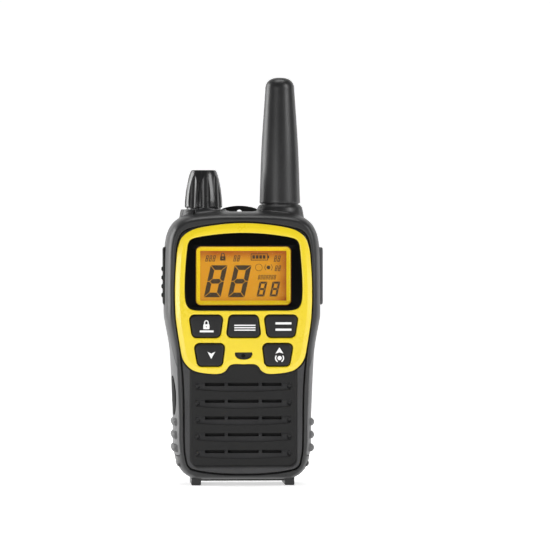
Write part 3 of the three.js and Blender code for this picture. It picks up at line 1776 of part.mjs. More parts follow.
add("battery_door", batteryDoor(), finishes.casing);
const flipped = (_, k) => k % 2 === 1;
const upright = (_, k) => k % 2 === 0;
cellPlaces.forEach((x, k) => add("battery_cell_" + (k + 1), batteryCell(x, flipped(x, k)), finishes.cell));
add("contact_plate_lower", contactPlate(plateLow, true, cellPlaces.filter(upright)), finishes.steel);
add("contact_plate_upper", contactPlate(plateHigh, false, cellPlaces.filter(flipped)), finishes.steel);
add("belt_clip", beltClip(), finishes.clip);
add("clip_bracket", clipBracket(), finishes.clip);
add("clip_pin", clipPin(), finishes.steel);
add("clip_spring", clipSpring(), finishes.steel);
screwPlaces.forEach((place, k) => add("case_screw_" + (k + 1), caseScrew(...place), finishes.steel));

export default radio;
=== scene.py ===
import json
import math

import bmesh
import bpy
import numpy as np
from mathutils import Matrix, Vector


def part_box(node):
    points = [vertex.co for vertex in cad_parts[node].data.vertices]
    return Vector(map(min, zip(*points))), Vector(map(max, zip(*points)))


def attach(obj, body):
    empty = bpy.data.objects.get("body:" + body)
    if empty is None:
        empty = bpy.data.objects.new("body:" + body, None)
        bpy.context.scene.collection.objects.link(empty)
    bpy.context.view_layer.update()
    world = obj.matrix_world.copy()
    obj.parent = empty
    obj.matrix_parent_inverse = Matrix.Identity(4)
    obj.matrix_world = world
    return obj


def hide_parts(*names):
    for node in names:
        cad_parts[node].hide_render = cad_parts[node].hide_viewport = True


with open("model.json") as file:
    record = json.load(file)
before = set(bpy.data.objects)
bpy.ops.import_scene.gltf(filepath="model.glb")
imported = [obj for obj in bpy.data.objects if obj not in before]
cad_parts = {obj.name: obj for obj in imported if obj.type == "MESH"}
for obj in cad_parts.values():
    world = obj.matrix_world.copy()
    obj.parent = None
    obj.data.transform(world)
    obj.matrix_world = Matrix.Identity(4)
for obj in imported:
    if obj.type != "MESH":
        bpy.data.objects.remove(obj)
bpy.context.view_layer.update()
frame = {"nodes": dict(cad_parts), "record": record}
nodes = frame["nodes"]
bodies = frame["record"]["behaviour"]["bodies"]
body_of_node = {node: body for body, names in bodies.items() for node in names}
slot_of_node = {part["node"]: part["material_slot"] for part in frame["record"]["subparts"]}

bpy.context.scene.view_settings.view_transform = "Standard"

# Sizes in millimetres, as on the casing: x to the right, z up from the feet, depth back from the front rim
MM = 0.001
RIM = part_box("front_panel")[0][1] / MM
CASE_HALF_WIDTH, CASE_FOOT, CASE_HEIGHT = 29.35, 2.2, 100.9
CASE_DEPTH, CASE_WALL, BACK_WALL = 29.0, 2.8, 2.0
CASE_TOP = CASE_FOOT + CASE_HEIGHT
PARTING, PARTING_GAP = 10.85, 0.3
FRONT_ROUND, BACK_ROUND = (3.1, 9.0), (3.0, 5.0)
BOTTOM_ROUND_SHARE = 0.55
FOOT_PLACE, FOOT_HALF_WIDTH, FOOT_HIGH = 17.6, 1.85, 3.4
FOOT_ROWS = [(0.3, 5.0), (0.08, 5.08), (0, 5.3), (0, 23.7), (0.08, 23.92), (0.3, 24.0)]  # inset, depth
LEDGE_DEPTH, LEDGE_THICKNESS, LEDGE_WIDTH = 3.5, 1.2, 1.4
BEZEL_HALF_WIDTH, BEZEL_HEIGHT, BEZEL_TOP = 25.7, 56.55, 98.7
BEZEL_PROUD, BEZEL_THICKNESS = 0.6, 1.8
BEZEL_EDGE = [  # inset, drop
    (0, 0.65), (0.03, 0.56), (0.09, 0.5), (0.18, 0.46), (0.5, 0.366), (1.0, 0.22), (1.45, 0.088),
    (1.62, 0.044), (1.78, 0.014), (1.95, 0),
]
WINDOW_HALF_WIDTH, WINDOW_LOW, WINDOW_HIGH, WINDOW_SINK = 21.8, 66.1, 94.8, 0.3
DISPLAY_HALF_WIDTH, DISPLAY_HALF_HEIGHT, DISPLAY_MIDDLE, DISPLAY_CORNER = 17.7, 10.85, 78.95, 1.7
KEY_PROUD, KEY_EDGE, KEY_CROWN, KEY_CORNER = 0.3, 0.7, 0.1, 1.7
KEY_FLANGE, KEY_FOOT, KEY_BACK = 0.8, 3.5, 4.1
SEAT_GAP = 0.3
PANEL_RECESS, PANEL_THICKNESS, PANEL_SLOPE, PANEL_EDGE = 0.8, 3.2, 1.3, 0.3
SUNK_BOX, SUNK_CORNER = (-19.4, 7.9, 19.4, 47.15), 2.6
LOUVRE_HEIGHT, LOUVRE_BOW, LOUVRE_SLOT, LOUVRE_SCOOP, LOUVRE_HALF_WIDTH = 2.55, 0.75, 1.25, 1.1, 17.7
LOUVRE_TOPS = [38.8 - 6.3 * k for k in range(5)]
LOUVRE_PIECES = [(-5.8, 5.8), (7.0, 14.4), (-14.4, -7.0)]
DIMPLE_PLACE, DIMPLE_DROP, DIMPLE_SINK = 17.2, 1.35, 0.35
MICROPHONE_HEIGHT, MICROPHONE_RADIUS = 48.925, 0.8
COLLAR_SPREAD, COLLAR_DEPTH, COLLAR_TOP, COLLAR_RADIUS = 14.45, 15.0, 103.9, 8.65
COLLAR_FLARE, COLLAR_RIM, COLLAR_BORES = (0.9, 2.9), 0.25, (3.1, 2.8)
SPIGOT_RADIUS, SPIGOT_TOP, NOTCH_TURN = 7.5, 105.75, -0.42
KNOB_RADIUS, KNOB_LOW, KNOB_HEIGHT = 7.15, 104.5, 14.1
FLUTES, FLUTE_PHASE, FLUTE_RADIUS, FLUTE_DEPTH, FLUTE_LEAN = 8, 0.104, 2.45, 0.95, 0.062
KNOB_SHARES = [(1, 0.04), (0.993, 0.18), (0.945, 0.42), (0.87, 0.64), (0.765, 0.86), (0.69, 0.965), (0.65, 1)]
KNOB_NECK_RADIUS, KNOB_NECK_DROP = 6.5, 0.55
POINTER_DEPTH, POINTER_HALF_WIDTH, POINTER_SHARE = 0.42, 0.2, 0.72
ANTENNA_LOW, ANTENNA_TOP, ANTENNA_DOME, ANTENNA_RADII = 106.05, 153.75, 4.7, (7.7, 5.5)
ANTENNA_SHARES, DOME_FULLNESS = [(1, 0.012), (0.65, 0.5), (0, 1)], 0.8
SCREWS = [(-21.8, 92.3, 29.0), (21.8, 92.3, 29.0), (-16.5, 6.0, 26.6), (16.5, 6.0, 26.6)]

# The sides and the back; outlines there are (depth, z)
GRIP_CORNERS = [(0.9, 11.5), (21.5, 11.5), (21.5, 56.6), (18.5, 59.6), (7.5, 59.6), (0.9, 44.6)]
GRIP_THICKNESS, POCKET_DEPTH = 1.2, 1.5
GRIP_RIBS, GRIP_RIB_PLACE, GRIP_RIB_RADIUS = (14.2, 19.05, 23.9), 25.445, 1.5
SIDE_KEY_BOX, SIDE_KEY_FACE = (8.3, 67.9, 19.7, 89.6), 30.4
TALK_RIBS, TALK_RIB_HALF = (71.5, 74.8, 78.1, 81.4), 0.9
JACK_DEPTH, JACK_HEIGHTS, JACK_BORE = 14, (74.3, 83.3), 3.3
JACK_HINGE_PLACE, JACK_HINGE_DEPTH, JACK_HINGE_RADIUS = 29.3, 18.6, 1.1
OVAL_CENTRE, OVAL_HALVES = np.array([6.6, 33.9]), np.array([3.9, 7.3])
CHARGE_BORE_DEPTH, CHARGE_BORE = 7.7, 2.7
HINGE_DEPTH, HINGE_PLACE, HINGE_RADIUS, HINGE_HALF = 9.78, 25.77, 0.72, 2.43
HINGE_ROOM, HINGE_ROOM_HALF = 0.55, 6.28
RAILS, RAIL_HALF, GROOVE_HALF, DOOR_FRONT = (-23.2, 23.2), 0.45, 0.75, 26.6
CLIP_HALF_WIDTH, CLIP_LOW, CLIP_TOP, CLIP_EYE = 7.4, 28, 105.35, 102.75
CLIP_HUB, CLIP_HUB_RADIUS = (32.5, 86), 2.2
CLIP_NOSE = [(29.3, 29.5), (31.3, 28), (35.5, 28), (35.5, 38.8), (34.8, 38.8), (29.3, 31)]
FAR = 40

# Right halves of outlines, in thousandths of the half width and the height
CASE_SHARES = [
    (0, 0), (360, 0), (620, 1.5), (690, 10.5), (744, 20.5), (795, 36), (840, 60), (866, 95), (882, 140),
    (884, 226), (896, 325), (906, 395), (925, 484), (953, 535), (978, 573), (998, 610), (1000, 660),
    (998, 770), (986, 872), (955, 918), (900, 950), (820, 972), (700, 987), (450, 997), (0, 1000),
]
OPENING_SHARES = [
    (0, 20), (200, 20.8), (410, 25.5), (600, 34), (680, 42), (725, 56), (748, 80), (763, 110), (770, 180),
    (773, 295), (784, 375), (801, 434), (825, 494), (855, 553), (877, 603), (888, 652), (888, 722),
    (877, 796), (865, 850), (853, 876), (830, 901), (790, 920.5), (718, 934.5), (610, 943), (410, 953),
    (200, 960), (0, 962.5),
]
BEZEL_SHARES = [
    (0, 64.5), (150, 64.5), (205, 55), (260, 22), (325, 4.5), (400, 0), (470, 1), (640, 10.5), (740, 25.5),
    (820, 54), (876, 89), (907, 130), (924, 174), (963, 282), (988, 369), (1000, 475), (996, 650),
    (981, 749), (969, 811), (946, 855), (915, 894), (857, 925), (772, 950), (685, 964.5), (590, 974.5),
    (467, 983.5), (233, 996), (0, 1000),
]
WINDOW_SHARES = [
    (0, 0), (550, 2), (840, 7), (936, 35), (982, 94), (1000, 206), (998, 415), (982, 624), (959, 798),
    (945, 861), (913, 906), (839, 934), (550, 972), (275, 993), (0, 1000),
]
CLIP_SHARES = [
    (0, 0), (440, 0), (660, 12), (762, 45), (800, 200), (850, 400), (910, 650), (975, 900), (990, 955),
    (982, 971), (945, 980.5), (860, 986.2), (700, 991.2), (400, 997.1), (200, 999.3), (0, 1000),
]

# Corners of the keys in thousandths of the plate's half width, low and high
KEY_CORNERS = {
    "key_top_left": ((-743, -348, -302, -794), 55.95, 64.15),
    "key_top_middle": ((-249, 249, 206, -206), 55.95, 64.15),
    "key_top_right": ((348, 743, 794, 302), 55.95, 64.15),
    "key_down": ((-665, -317, -276, -722), 45.15, 53.5),
    "key_up": ((317, 665, 722, 276), 45.15, 53.5),
}

# Camera and light
VIEW_AZIMUTH, VIEW_ELEVATION = math.radians(-3.2), math.radians(0.8)
VIEW_DISTANCE, VIEW_FIELD = 1.5, 0.2087
AIM = Vector((0.01278, 0.0, 0.079))


def placed(name, data):
    """A new object, linked into the scene."""
    made = bpy.data.objects.new(name, data)
    bpy.context.scene.collection.objects.link(made)
    return made


camera = placed("camera", bpy.data.cameras.new("camera"))
bpy.context.scene.camera = camera
camera.data.sensor_width = 36
camera.data.lens = 36 * VIEW_DISTANCE / VIEW_FIELD
camera.data.clip_start, camera.data.clip_end = 0.05, 20
level = math.cos(VIEW_ELEVATION)
away = Vector((math.sin(VIEW_AZIMUTH) * level, -math.cos(VIEW_AZIMUTH) * level, math.sin(VIEW_ELEVATION)))
camera.location = AIM + away * VIEW_DISTANCE
camera.rotation_euler = (-away).to_track_quat("-Z", "Y").to_euler()

# Rectangular area lights: place, height of the aim on the axis, size, watts, whether glossy faces show it
LIGHTS = {
    "left_rim": ((-0.84, 0.35, 0.2), 0.07, (0.46, 0.8), 7.4, True),
    "right_rim": ((0.85, 0.5, 0.2), 0.07, (0.22, 0.7), 0.8, True),
    "right_key": ((1.0, -0.75, 0.6), 0.08, (0.5, 0.7), 8.2, True),
    "top_fill": ((0.0, 0.05, 0.95), 0.05, (0.6, 0.4), 3.5, True),
    "front_fill": ((-0.66, -1.2, 0.4), 0.4, (0.55, 0.8), 3.7, False),
    "left_glint": ((-0.66, -1.2, 0.06), 0.06, (0.5, 0.12), 3.2, True),
    "right_glint": ((0.83, -1.1, 0.06), 0.06, (0.4, 0.12), 0.3, True),
}
for name, (place, aim, (width, height), power, in_gloss) in LIGHTS.items():
    light = bpy.data.lights.new(name, "AREA")
    light.shape, light.size, light.size_y, light.energy = "RECTANGLE", width, height, power
    lamp = placed(name, light)
    lamp.location = place
    lamp.rotation_euler = (Vector((0, 0, aim)) - Vector(place)).to_track_quat("-Z", "Y").to_euler()
    lamp.visible_glossy = in_gloss

world = bpy.data.worlds.new("studio")
world.use_nodes = True
sky = world.node_tree.nodes["Background"].inputs
sky["Color"].default_value, sky["Strength"].default_value = (1, 1, 1, 1), 0.12
bpy.context.scene.world = world


# Materials


def math_node(operation, swapped=False):
    """A method that adds a Math node of a value and another value or number."""

    def method(self, other=0.0):
        first, second = (other, self) if swapped else (self, other)
        return self.finish.node("Math", {"operation": operation}, {0: first, 1: second})

    return method


class Value:
    """A shader socket; arithmetic with numbers or other values adds Math nodes."""

    __add__, __mul__, __truediv__ = math_node("ADD"), math_node("MULTIPLY"), math_node("DIVIDE")
    __sub__, __rsub__ = math_node("SUBTRACT"), math_node("SUBTRACT", swapped=True)
    __pow__, __lt__ = math_node("POWER"), math_node("LESS_THAN")
    most, size = math_node("MAXIMUM"), math_node("ABSOLUTE")

    def __init__(self, finish, socket):
        self.finish, self.socket = finish, socket

    def clamped(self):
        return self.finish.node("Clamp", {}, {"Value": self})


class Finish:
    """A material under construction, with one Principled shader."""

    def __init__(self, name):
        self.material = bpy.data.materials.new(name + "_finish")
        self.material.use_nodes = True
        self.tree = self.material.node_tree
        self.shader = self.tree.nodes["Principled BSDF"]

    def node(self, kind, settings, values, output=0):
        """Adds a node: its settings first, then its sockets' numbers, colours, greys or links."""
        node = self.tree.nodes.new("ShaderNode" + kind)
        for key, value in settings.items():
            setattr(node, key, value)
        for key, value in values.items():
            self.put(node.inputs[key], value)
        return Value(self, node.outputs[output])

    def put(self, socket, value):
        if isinstance(value, Value):
            self.tree.links.new(value.socket, socket)
        elif socket.type == "RGBA":
            socket.default_value = (*np.broadcast_to(value, 3), 1)
        else:
            socket.default_value = value

    def set(self, **values):
        """Puts numbers, colours or links on the shader's sockets; names have _ for spaces."""
        for key, value in values.items():
            self.put(self.shader.inputs[key.replace("_", " ")], value)
        return self.material

    def place(self):
        return self.node("TexCoord", {}, {}, "Object")

    def along(self, axis):
        """One coordinate of the object, in millimetres."""
        return self.node("SeparateXYZ", {}, {0: self.place()}, axis) * 1000.0

    def noise(self, per_metre, detail=3.0, roughness=0.55, stretch=(1, 1, 1)):
        where = self.node("Mapping", {}, {"Vector": self.place(), "Scale": stretch})
        values = {"Vector": where, "Scale": per_metre, "Detail": detail, "Roughness": roughness}
        return self.node("TexNoise", {}, values)

    def mix(self, share, low, high):
        """A colour from low to high by a share."""
        return self.node("Mix", {"data_type": "RGBA"}, {0: share, 6: low, 7: high}, 2)

    def bump(self, height, depth):
        """A bump as deep as depth in millimetres."""
        return self.node("Bump", {}, {"Height": height, "Distance": depth * MM, "Strength": 1.0})


def moulded(name, dark, light, rough, grain, depth, patch=0.05, coat=0.0, specular=0.5, sunk=0.0):
    """Moulded plastic or rubber: two near shades, a fine grain and slow changes of gloss.

    With a share for sunk, painted shade: what lies behind the rim is darker by it, and deep in the louvres a
    painted lightening makes it less so, against the shade that falls there.
    """
    f = Finish(name)
    dark, light = np.array(dark) / 1000, np.array(light) / 1000
    slow = f.noise(70, 3)
    fine = f.noise(grain, 4, 0.65)
    colour = f.mix(((slow * 0.5 + fine * 0.5 - 0.3) * 2.2).clamped(), dark, light)
    # Painted shade behind the rim, painted lighter again deep in the louvres where real shade falls
    if sunk:
        behind = f.along("Y") - RIM
        share = ((behind - 0.1) / 0.5).clamped() * sunk - ((behind - 0.85) / 0.4).clamped() * 0.5
        colour = f.mix(share, colour, 0.003)
    return f.set(
        Base_Color=colour,
        Roughness=((slow - 0.5) * patch * 2 + (fine - 0.5) * patch * 2 + rough).clamped(),
        Coat_Weight=coat, Coat_Roughness=0.12, Specular_IOR_Level=specular, Normal=f.bump(fine, depth),
    )


def brushed(name, colour, rough):
    """Plated metal with fine scratches along its brushing."""
    f = Finish(name)
    lines = f.noise(900, 3, 0.6, (1, 1, 30))
    return f.set(
        Base_Color=f.mix(lines, np.array(colour) * 0.8, colour),
        Metallic=1.0, Roughness=(lines - 0.5) * 0.2 + rough, Normal=f.bump(lines, 0.01),
    )


def lit_display():
    """The lit display: amber in the middle, redder and darker to the top and the right edge."""
    f = Finish("display")
    x, z = f.along("X"), f.along("Z")
    right = ((x - 10) / 6.5).clamped() ** 1.5
    top = ((z - 84) / 3.5).clamped() ** 1.2
    low = ((71.5 - z) / 3.5).clamped() * 0.35
    edge = (right.most(top) * 0.85 + right * top * 0.3 + low).clamped()
    cloud = f.noise(140, 2)
    amber = f.mix(edge, (0.56, 0.245, 0.014), (0.3, 0.055, 0.007))
    mottled = f.mix(((cloud - 0.4) * 0.7).clamped(), amber, (0.66, 0.33, 0.03))
    return f.set(
        Base_Color=mottled, Emission_Color=mottled, Emission_Strength=0.25,
        Roughness=0.4, Specular_IOR_Level=0.2,
    )


def clear_window():
    f = Finish("clear_window")
    smear = f.noise(90, 2)
    return f.set(Base_Color=0.01, Roughness=smear * 0.06 + 0.02, Alpha=0.06)


def circuit():
    """Green resist with tracks: the middle line of a noise, cut thin."""
    f = Finish("circuit_board")
    track = (f.noise(260, 1) - 0.5).size() < 0.02
    return f.set(
        Base_Color=f.mix(track, (0.012, 0.09, 0.035), (0.03, 0.2, 0.08)),
        Roughness=0.35, Normal=f.bump(track, 0.03),
    )


# Dark and light in thousandths, roughness, grain per metre, its depth in mm; patch, coat, specular, sunk (the
# share of painted shade behind the rim)
MOULDED = {
    "casing": ((8, 8, 8.5), (16, 16, 16.5), 0.4, 3500, 0.012),
    # The panel's last share is its painted shade behind the rim
    "panel": ((30, 30, 31), (55, 55, 57), 0.5, 2600, 0.03, 0.05, 0.0, 0.3, 0.9),
    "yellow_plate": ((700, 525, 11), (750, 580, 15), 0.28, 900, 0.001, 0.02, 1.0, 0.3),
    "gloss_black": (1, 2, 0.1, 700, 0.001, 0.01, 0.0, 0.12),
    "gold_bevel": ((900, 620, 14), (950, 700, 22), 0.22, 800, 0.003, 0.02, 0.2, 0.3),
    "light_guide": ((800, 700, 400), (900, 800, 500), 0.4, 900, 0.004),
    "key_rubber": ((6, 6, 6.3), (11, 11, 11.5), 0.5, 3000, 0.008, 0.05, 0.0, 0.35),
    "soft_rubber": (6, 10, 0.7, 2600, 0.01, 0.05, 0.0, 0.15),
    "side_rubber": ((45, 45, 46), (100, 100, 103), 0.5, 2600, 0.02),
    "sheath_rubber": ((8, 8, 8.5), (18, 18, 18.5), 0.36, 2200, 0.04),
    "knob_plastic": ((6, 6, 6.5), (10, 10, 10.5), 0.28, 1500, 0.003, 0.03, 0.25),
    "clip_plastic": (6, 11, 0.45, 2500, 0.01),
    "dark_plastic": ((15, 15, 16), (25, 25, 26), 0.5, 1500, 0.01),
    "paper_black": (4, 9, 0.9, 6000, 0.03),
    "cell_jacket": ((100, 120, 150), (140, 170, 200), 0.35, 900, 0.004, 0.04, 0.3),
    "legend_white": (780, 860, 0.5, 2500, 0.002),
    "segment_brown": ((40, 22, 3), (55, 30, 5), 0.5, 900, 0.001),
    # Painted sheen: the grips get a lighter copy of the side rubber, standing in for the light their sides
    # catch
    "grip_rubber_painted_sheen": ((80, 80, 82), (140, 140, 143), 0.5, 2600, 0.02),
}
finishes = {name: moulded(name, *values) for name, values in MOULDED.items()}
finishes |= {"clear_window": clear_window(), "display": lit_display(), "circuit_board": circuit()}
for name, colour, rough in ("bright_metal", (0.6, 0.6, 0.61), 0.28), ("screw_zinc", (0.3, 0.3, 0.31), 0.36):
    finishes[name] = brushed(name, colour, rough)
for node, held in nodes.items():
    held.data.materials.clear()
    held.data.materials.append(finishes[slot_of_node[node]])


# Outlines: arrays of (x, z) in millimetres, counterclockwise as seen from the front


def resampled(points, count):
    """A closed polyline at equal steps of its length, starting at its first point."""
    ring = np.vstack([points, points[:1]])
    run = np.concatenate([[0], np.cumsum(np.linalg.norm(np.diff(ring, axis=0), axis=1))])
    at = np.linspace(0, run[-1], count, endpoint=False)
    return np.column_stack([np.interp(at, run, ring[:, 0]), np.interp(at, run, ring[:, 1])])


def outline_through(shares, half_width, low, height, count=480):
    """A closed centripetal Catmull-Rom curve through the right half's points and their mirror images.

    Between two points it is a cubic whose end tangents weigh the chords by the square roots of
    their lengths. It is then resampled to equal steps of its own length.
    """
    right = np.array(shares) / 1000 * (half_width, height) + (0, low)
    left = right[::-1][right[::-1][:, 0] > 0] * (-1, 1)
    b = np.vstack([right, left])
    a, c, d = np.roll(b, 1, 0), np.roll(b, -1, 0), np.roll(b, -2, 0)
    ab, bc, cd = (np.linalg.norm(q - p, axis=1)[:, None] ** 0.5 for p, q in ((a, b), (b, c), (c, d)))
    m = c - b + bc * ((b - a) / ab - (c - a) / (ab + bc))
    n = c - b + bc * ((d - c) / cd - (d - b) / (bc + cd))
    s = np.linspace(0, 1, 32, endpoint=False)[:, None, None]
    curve = (2 * b - 2 * c + m + n) * s**3 + (3 * c - 3 * b - 2 * m - n) * s**2 + m * s + b
    return resampled(curve.transpose(1, 0, 2).reshape(-1, 2), count)


def inset(outline, amount, low_share=1.0):
    """Moves an outline inwards along its normals; a low share below 1 weakens the move upwards."""
    along = np.roll(outline, -1, 0) - np.roll(outline, 1, 0)
    inwards = np.column_stack([-along[:, 1], along[:, 0]]) / np.linalg.norm(along, axis=1)[:, None]
    inwards[:, 1] *= np.where(inwards[:, 1] > 0, low_share, 1)
    return outline + inwards * amount


def rounded(corners, radius, steps=10):
    """A polygon whose corners are arcs of one radius: each arc turns from one side to the next."""
    corners = np.array(corners, float)
    rows = []
    for before, here, after in zip(np.roll(corners, 1, 0), corners, np.roll(corners, -1, 0)):
        back, on = before - here, after - here
        back, on = back / np.linalg.norm(back), on / np.linalg.norm(on)
        half = math.acos(np.clip(back @ on, -1, 1)) / 2
        middle = (back + on) / np.linalg.norm(back + on)
        centre = here + middle * radius / math.sin(half)
        start = here + back * radius / math.tan(half) - centre
        turn = np.linspace(0, math.pi - 2 * half, steps + 1) + math.atan2(start[1], start[0])
        rows.append(arc(*centre, radius, turn))
    return np.vstack(rows)


def rounded_box(x0, z0, x1, z1, radius, steps=10):
    return rounded([(x0, z0), (x1, z0), (x1, z1), (x0, z1)], radius, steps)


def around(count):
    return np.linspace(0, 2 * math.pi, count, endpoint=False)


def arc(x, z, radius, turn):
    return np.column_stack([x + radius * np.cos(turn), z + radius * np.sin(turn)])


def disc(x, z, radius, steps=40):
    return arc(x, z, radius, around(steps))


def display_outline(growth):
    w, h = DISPLAY_HALF_WIDTH + growth, DISPLAY_HALF_HEIGHT + growth
    return rounded_box(-w, DISPLAY_MIDDLE - h, w, DISPLAY_MIDDLE + h, DISPLAY_CORNER + growth)


def key_outline(name):
    shares, low, high = KEY_CORNERS[name]
    x = np.array(shares) / 1000 * BEZEL_HALF_WIDTH
    return rounded(np.column_stack([x, (low, low, high, high)]), KEY_CORNER)


case_size = CASE_HALF_WIDTH, CASE_FOOT, CASE_HEIGHT, 720
case_outline, opening_outline = (outline_through(half, *case_size) for half in (CASE_SHARES, OPENING_SHARES))
bezel_outline = outline_through(BEZEL_SHARES, BEZEL_HALF_WIDTH, BEZEL_TOP - BEZEL_HEIGHT, BEZEL_HEIGHT)
window_outline = outline_through(
    WINDOW_SHARES, WINDOW_HALF_WIDTH, WINDOW_LOW, WINDOW_HIGH - WINDOW_LOW, 320
)


# Meshes


def skinned(*grids, wrap=False):
    """One mesh of closed forms, each a skin of quads over rows of points that close on themselves.

    With wrap, each form's last row joins its first; without, both get a face. Normals turn outwards.
    """
    points, faces, start = [], [], 0
    for grid in map(np.array, grids):
        index = start + np.arange(grid[..., 0].size).reshape(grid.shape[:2])
        here = index if wrap else index[:-1]
        there = np.roll(index, -1, 0) if wrap else index[1:]
        quads = np.stack([here, np.roll(here, -1, 1), np.roll(there, -1, 1), there], axis=2)
        faces += quads.reshape(-1, 4).tolist()
        if not wrap:
            faces += [index[0].tolist(), index[-1].tolist()]
        points.append(grid.reshape(-1, 3) * MM)
        start += index.size
    mesh = bpy.data.meshes.new("form")
    mesh.from_pydata(np.vstack(points).tolist(), [], faces)
    return outwards(mesh)


def outwards(mesh, merge=0.0):
    form = bmesh.new()
    form.from_mesh(mesh)
    if merge:
        bmesh.ops.remove_doubles(form, verts=form.verts, dist=merge)
    bmesh.ops.recalc_face_normals(form, faces=form.faces)
    form.to_mesh(mesh)
    form.free()
    return mesh


def combined(mesh, steps):
    """A closed mesh after boolean steps, each (operation, closed mesh), by Blender's manifold solver."""
    held = [placed("step", form) for form in (mesh, *(tool for _, tool in steps))]
    for (operation, _), tool in zip(steps, held[1:]):
        step = held[0].modifiers.new(operation, "BOOLEAN")
        step.operation, step.object, step.solver = operation, tool, "MANIFOLD"
    seen = held[0].evaluated_get(bpy.context.evaluated_depsgraph_get())
    result = bpy.data.meshes.new_from_object(seen)
    for made in held:
        bpy.data.objects.remove(made)
    return result


def plus(*forms):
    return [("UNION", form) for form in forms]


def minus(*forms):
    return [("DIFFERENCE", form) for form in forms]


def within(*forms):
    return [("INTERSECT", form) for form in forms]


stood_for = set()


def piece(name, mesh, slot, body, replaced=(), sharp=50, finish=None):
    """Puts a mesh into the scene: its finish, smooth faces, its body and the nodes it stands for."""
    made = placed(name, mesh)
    mesh.materials.clear()
    mesh.materials.append(finishes[finish or slot])
    mesh.shade_smooth()
    mesh.set_sharp_from_angle(angle=math.radians(sharp))
    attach(made, body)
    if replaced:
        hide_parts(*replaced)
        stood_for.update(replaced)
    made.modifiers.new("shading", "WEIGHTED_NORMAL").keep_sharp = True
    return made


def stand_in(node, mesh, sharp=32, finish=None, name=None, slot=None):
    """Puts a mesh in a node's place, on the node's body and, without another, in its slot."""
    name, slot = name or node + "_form", slot or slot_of_node[node]
    return piece(name, mesh, slot, body_of_node[node], [node], sharp, finish)


def joined(node):
    """A copy of a node's mesh with its facets joined, so that its curves shade smoothly."""
    form = bmesh.new()
    form.from_mesh(nodes[node].data)
    bmesh.ops.remove_doubles(form, verts=form.verts, dist=2e-6)
    bmesh.ops.dissolve_limit(form, angle_limit=math.radians(0.6), verts=form.verts, edges=form.edges)
    mesh = bpy.data.meshes.new(node + "_form")
    form.to_mesh(mesh)
    form.free()
    return mesh


def rounded_edges(made, edge):
    """Rounds a piece's sharp edges to a width in millimetres."""
    made.modifiers.remove(made.modifiers["shading"])
    rounding = made.modifiers.new("edge", "BEVEL")
    rounding.width, rounding.segments, rounding.limit_method = edge * MM, 2, "ANGLE"
    rounding.angle_limit, rounding.harden_normals = math.radians(40), True


def at_depth(outline, depth):
    """An outline laid in the front view at a depth behind the rim: rows of (x, y, z)."""
    return np.insert(outline, 1, RIM + depth, axis=1)


def at_side(outline, x):
    """An outline of (depth, z) laid in the side view at an x."""
    return np.insert(outline + (RIM, 0), 0, x, axis=1)


def prism(outline, d0, d1):
    return skinned([at_depth(outline, d0), at_depth(outline, d1)])


def stacked(outline, rows):
    """A closed form through copies of an outline, each drawn in by an inset at a depth."""
    return skinned([at_depth(inset(outline, e), depth) for e, depth in rows])


def block(x0, x1, d0, d1, z0, z1):
    return prism(np.array([(x0, z0), (x1, z0), (x1, z1), (x0, z1)], float), d0, d1)


def blocks(places, half, *extent):
    return [block(x - half, x + half, *extent) for x in places]


def side_prism(outline, x0, x1):
    return skinned([at_side(outline, x0), at_side(outline, x1)])


def quarter(count):
    """Steps along a quarter circle, as pairs (1 - cos, 1 - sin): from (0, 1) to (1, 0)."""
    return [(1 - math.cos(a), 1 - math.sin(a)) for a in np.linspace(0, math.pi / 2, count)]


def crowned(outline, place, edge, crown, shares):
    """Rows of a pad: a round edge, then a crowned face; place lays a ring at its drop from the face."""
    middle, top = outline.mean(0), inset(outline, edge)
    rows = [place(inset(outline, edge * c), crown + edge * s) for c, s in quarter(8)]
    return rows + [place(middle + (top - middle) * share, crown * share**2) for share in shares]


def flat_mesh(outlines, front, back, edge=0.0):
    """A plate between two depths: outlines filled, those inside another cut out, edges rounded.

    Blender's flat curve does all three.
    """
    curve = bpy.data.curves.new("flat", "CURVE")
    curve.dimensions, curve.fill_mode = "2D", "BOTH"
    curve.extrude = ((back - front) / 2 - edge) * MM
    curve.bevel_depth, curve.bevel_resolution, curve.offset = edge * MM, 4, -edge * MM
    for k, outline in enumerate(outlines):
        ring = np.pad((outline if k == 0 else outline[::-1]) * MM, ((0, 0), (0, 2)))
        ring[:, 3] = 1
        spline = curve.splines.new("POLY")
        spline.points.add(len(ring) - 1)
        spline.points.foreach_set("co", ring.ravel())
        spline.use_cyclic_u = True
    holder = bpy.data.objects.new("flat", curve)
    mesh = bpy.data.meshes.new_from_object(holder)
    bpy.data.objects.remove(holder)
    middle = Matrix.Translation((0, (RIM + (front + back) / 2) * MM, 0))
    mesh.transform(middle @ Matrix.Rotation(math.pi / 2, 4, "X"))
    return outwards(mesh, 1e-6)


def plate(name, outlines, front, thickness, slot, body="case", finish=None):
    piece(name, flat_mesh(outlines, front, front + thickness), slot, body, finish=finish)


def about(x, depth, radius, z):
    """Points about an upright line: radii at equal turns, each row at its height or heights."""
    turn = around(radius.shape[-1])
    across = [x + radius * np.cos(turn), RIM + depth + radius * np.sin(turn)]
    return np.stack([*across, np.broadcast_to(z, radius.shape)], axis=-1)


def turned(profile, x, depth, count):
    """A profile of (radius, z) turned about an upright line."""
    radius, z = np.array(profile, float).T[..., None]
    return about(x, depth, np.repeat(radius, count, 1), z)


def smooth_profile(points, count):
    """A cubic Catmull-Rom curve through a profile's points, with straight ends."""
    p = np.array(points, float)
    p = np.vstack([2 * p[0] - p[1], p, 2 * p[-1] - p[-2]])
    at = np.linspace(0, len(p) - 3 - 1e-9, count)
    k = at.astype(int)
    s = (at - k)[:, None]
    a, b, c, d = p[k], p[k + 1], p[k + 2], p[k + 3]
    return 0.5 * (2 * b + (c - a) * s + (2 * a - 5 * b + 4 * c - d) * s**2 + (3 * b - a - 3 * c + d) * s**3)


# The casing


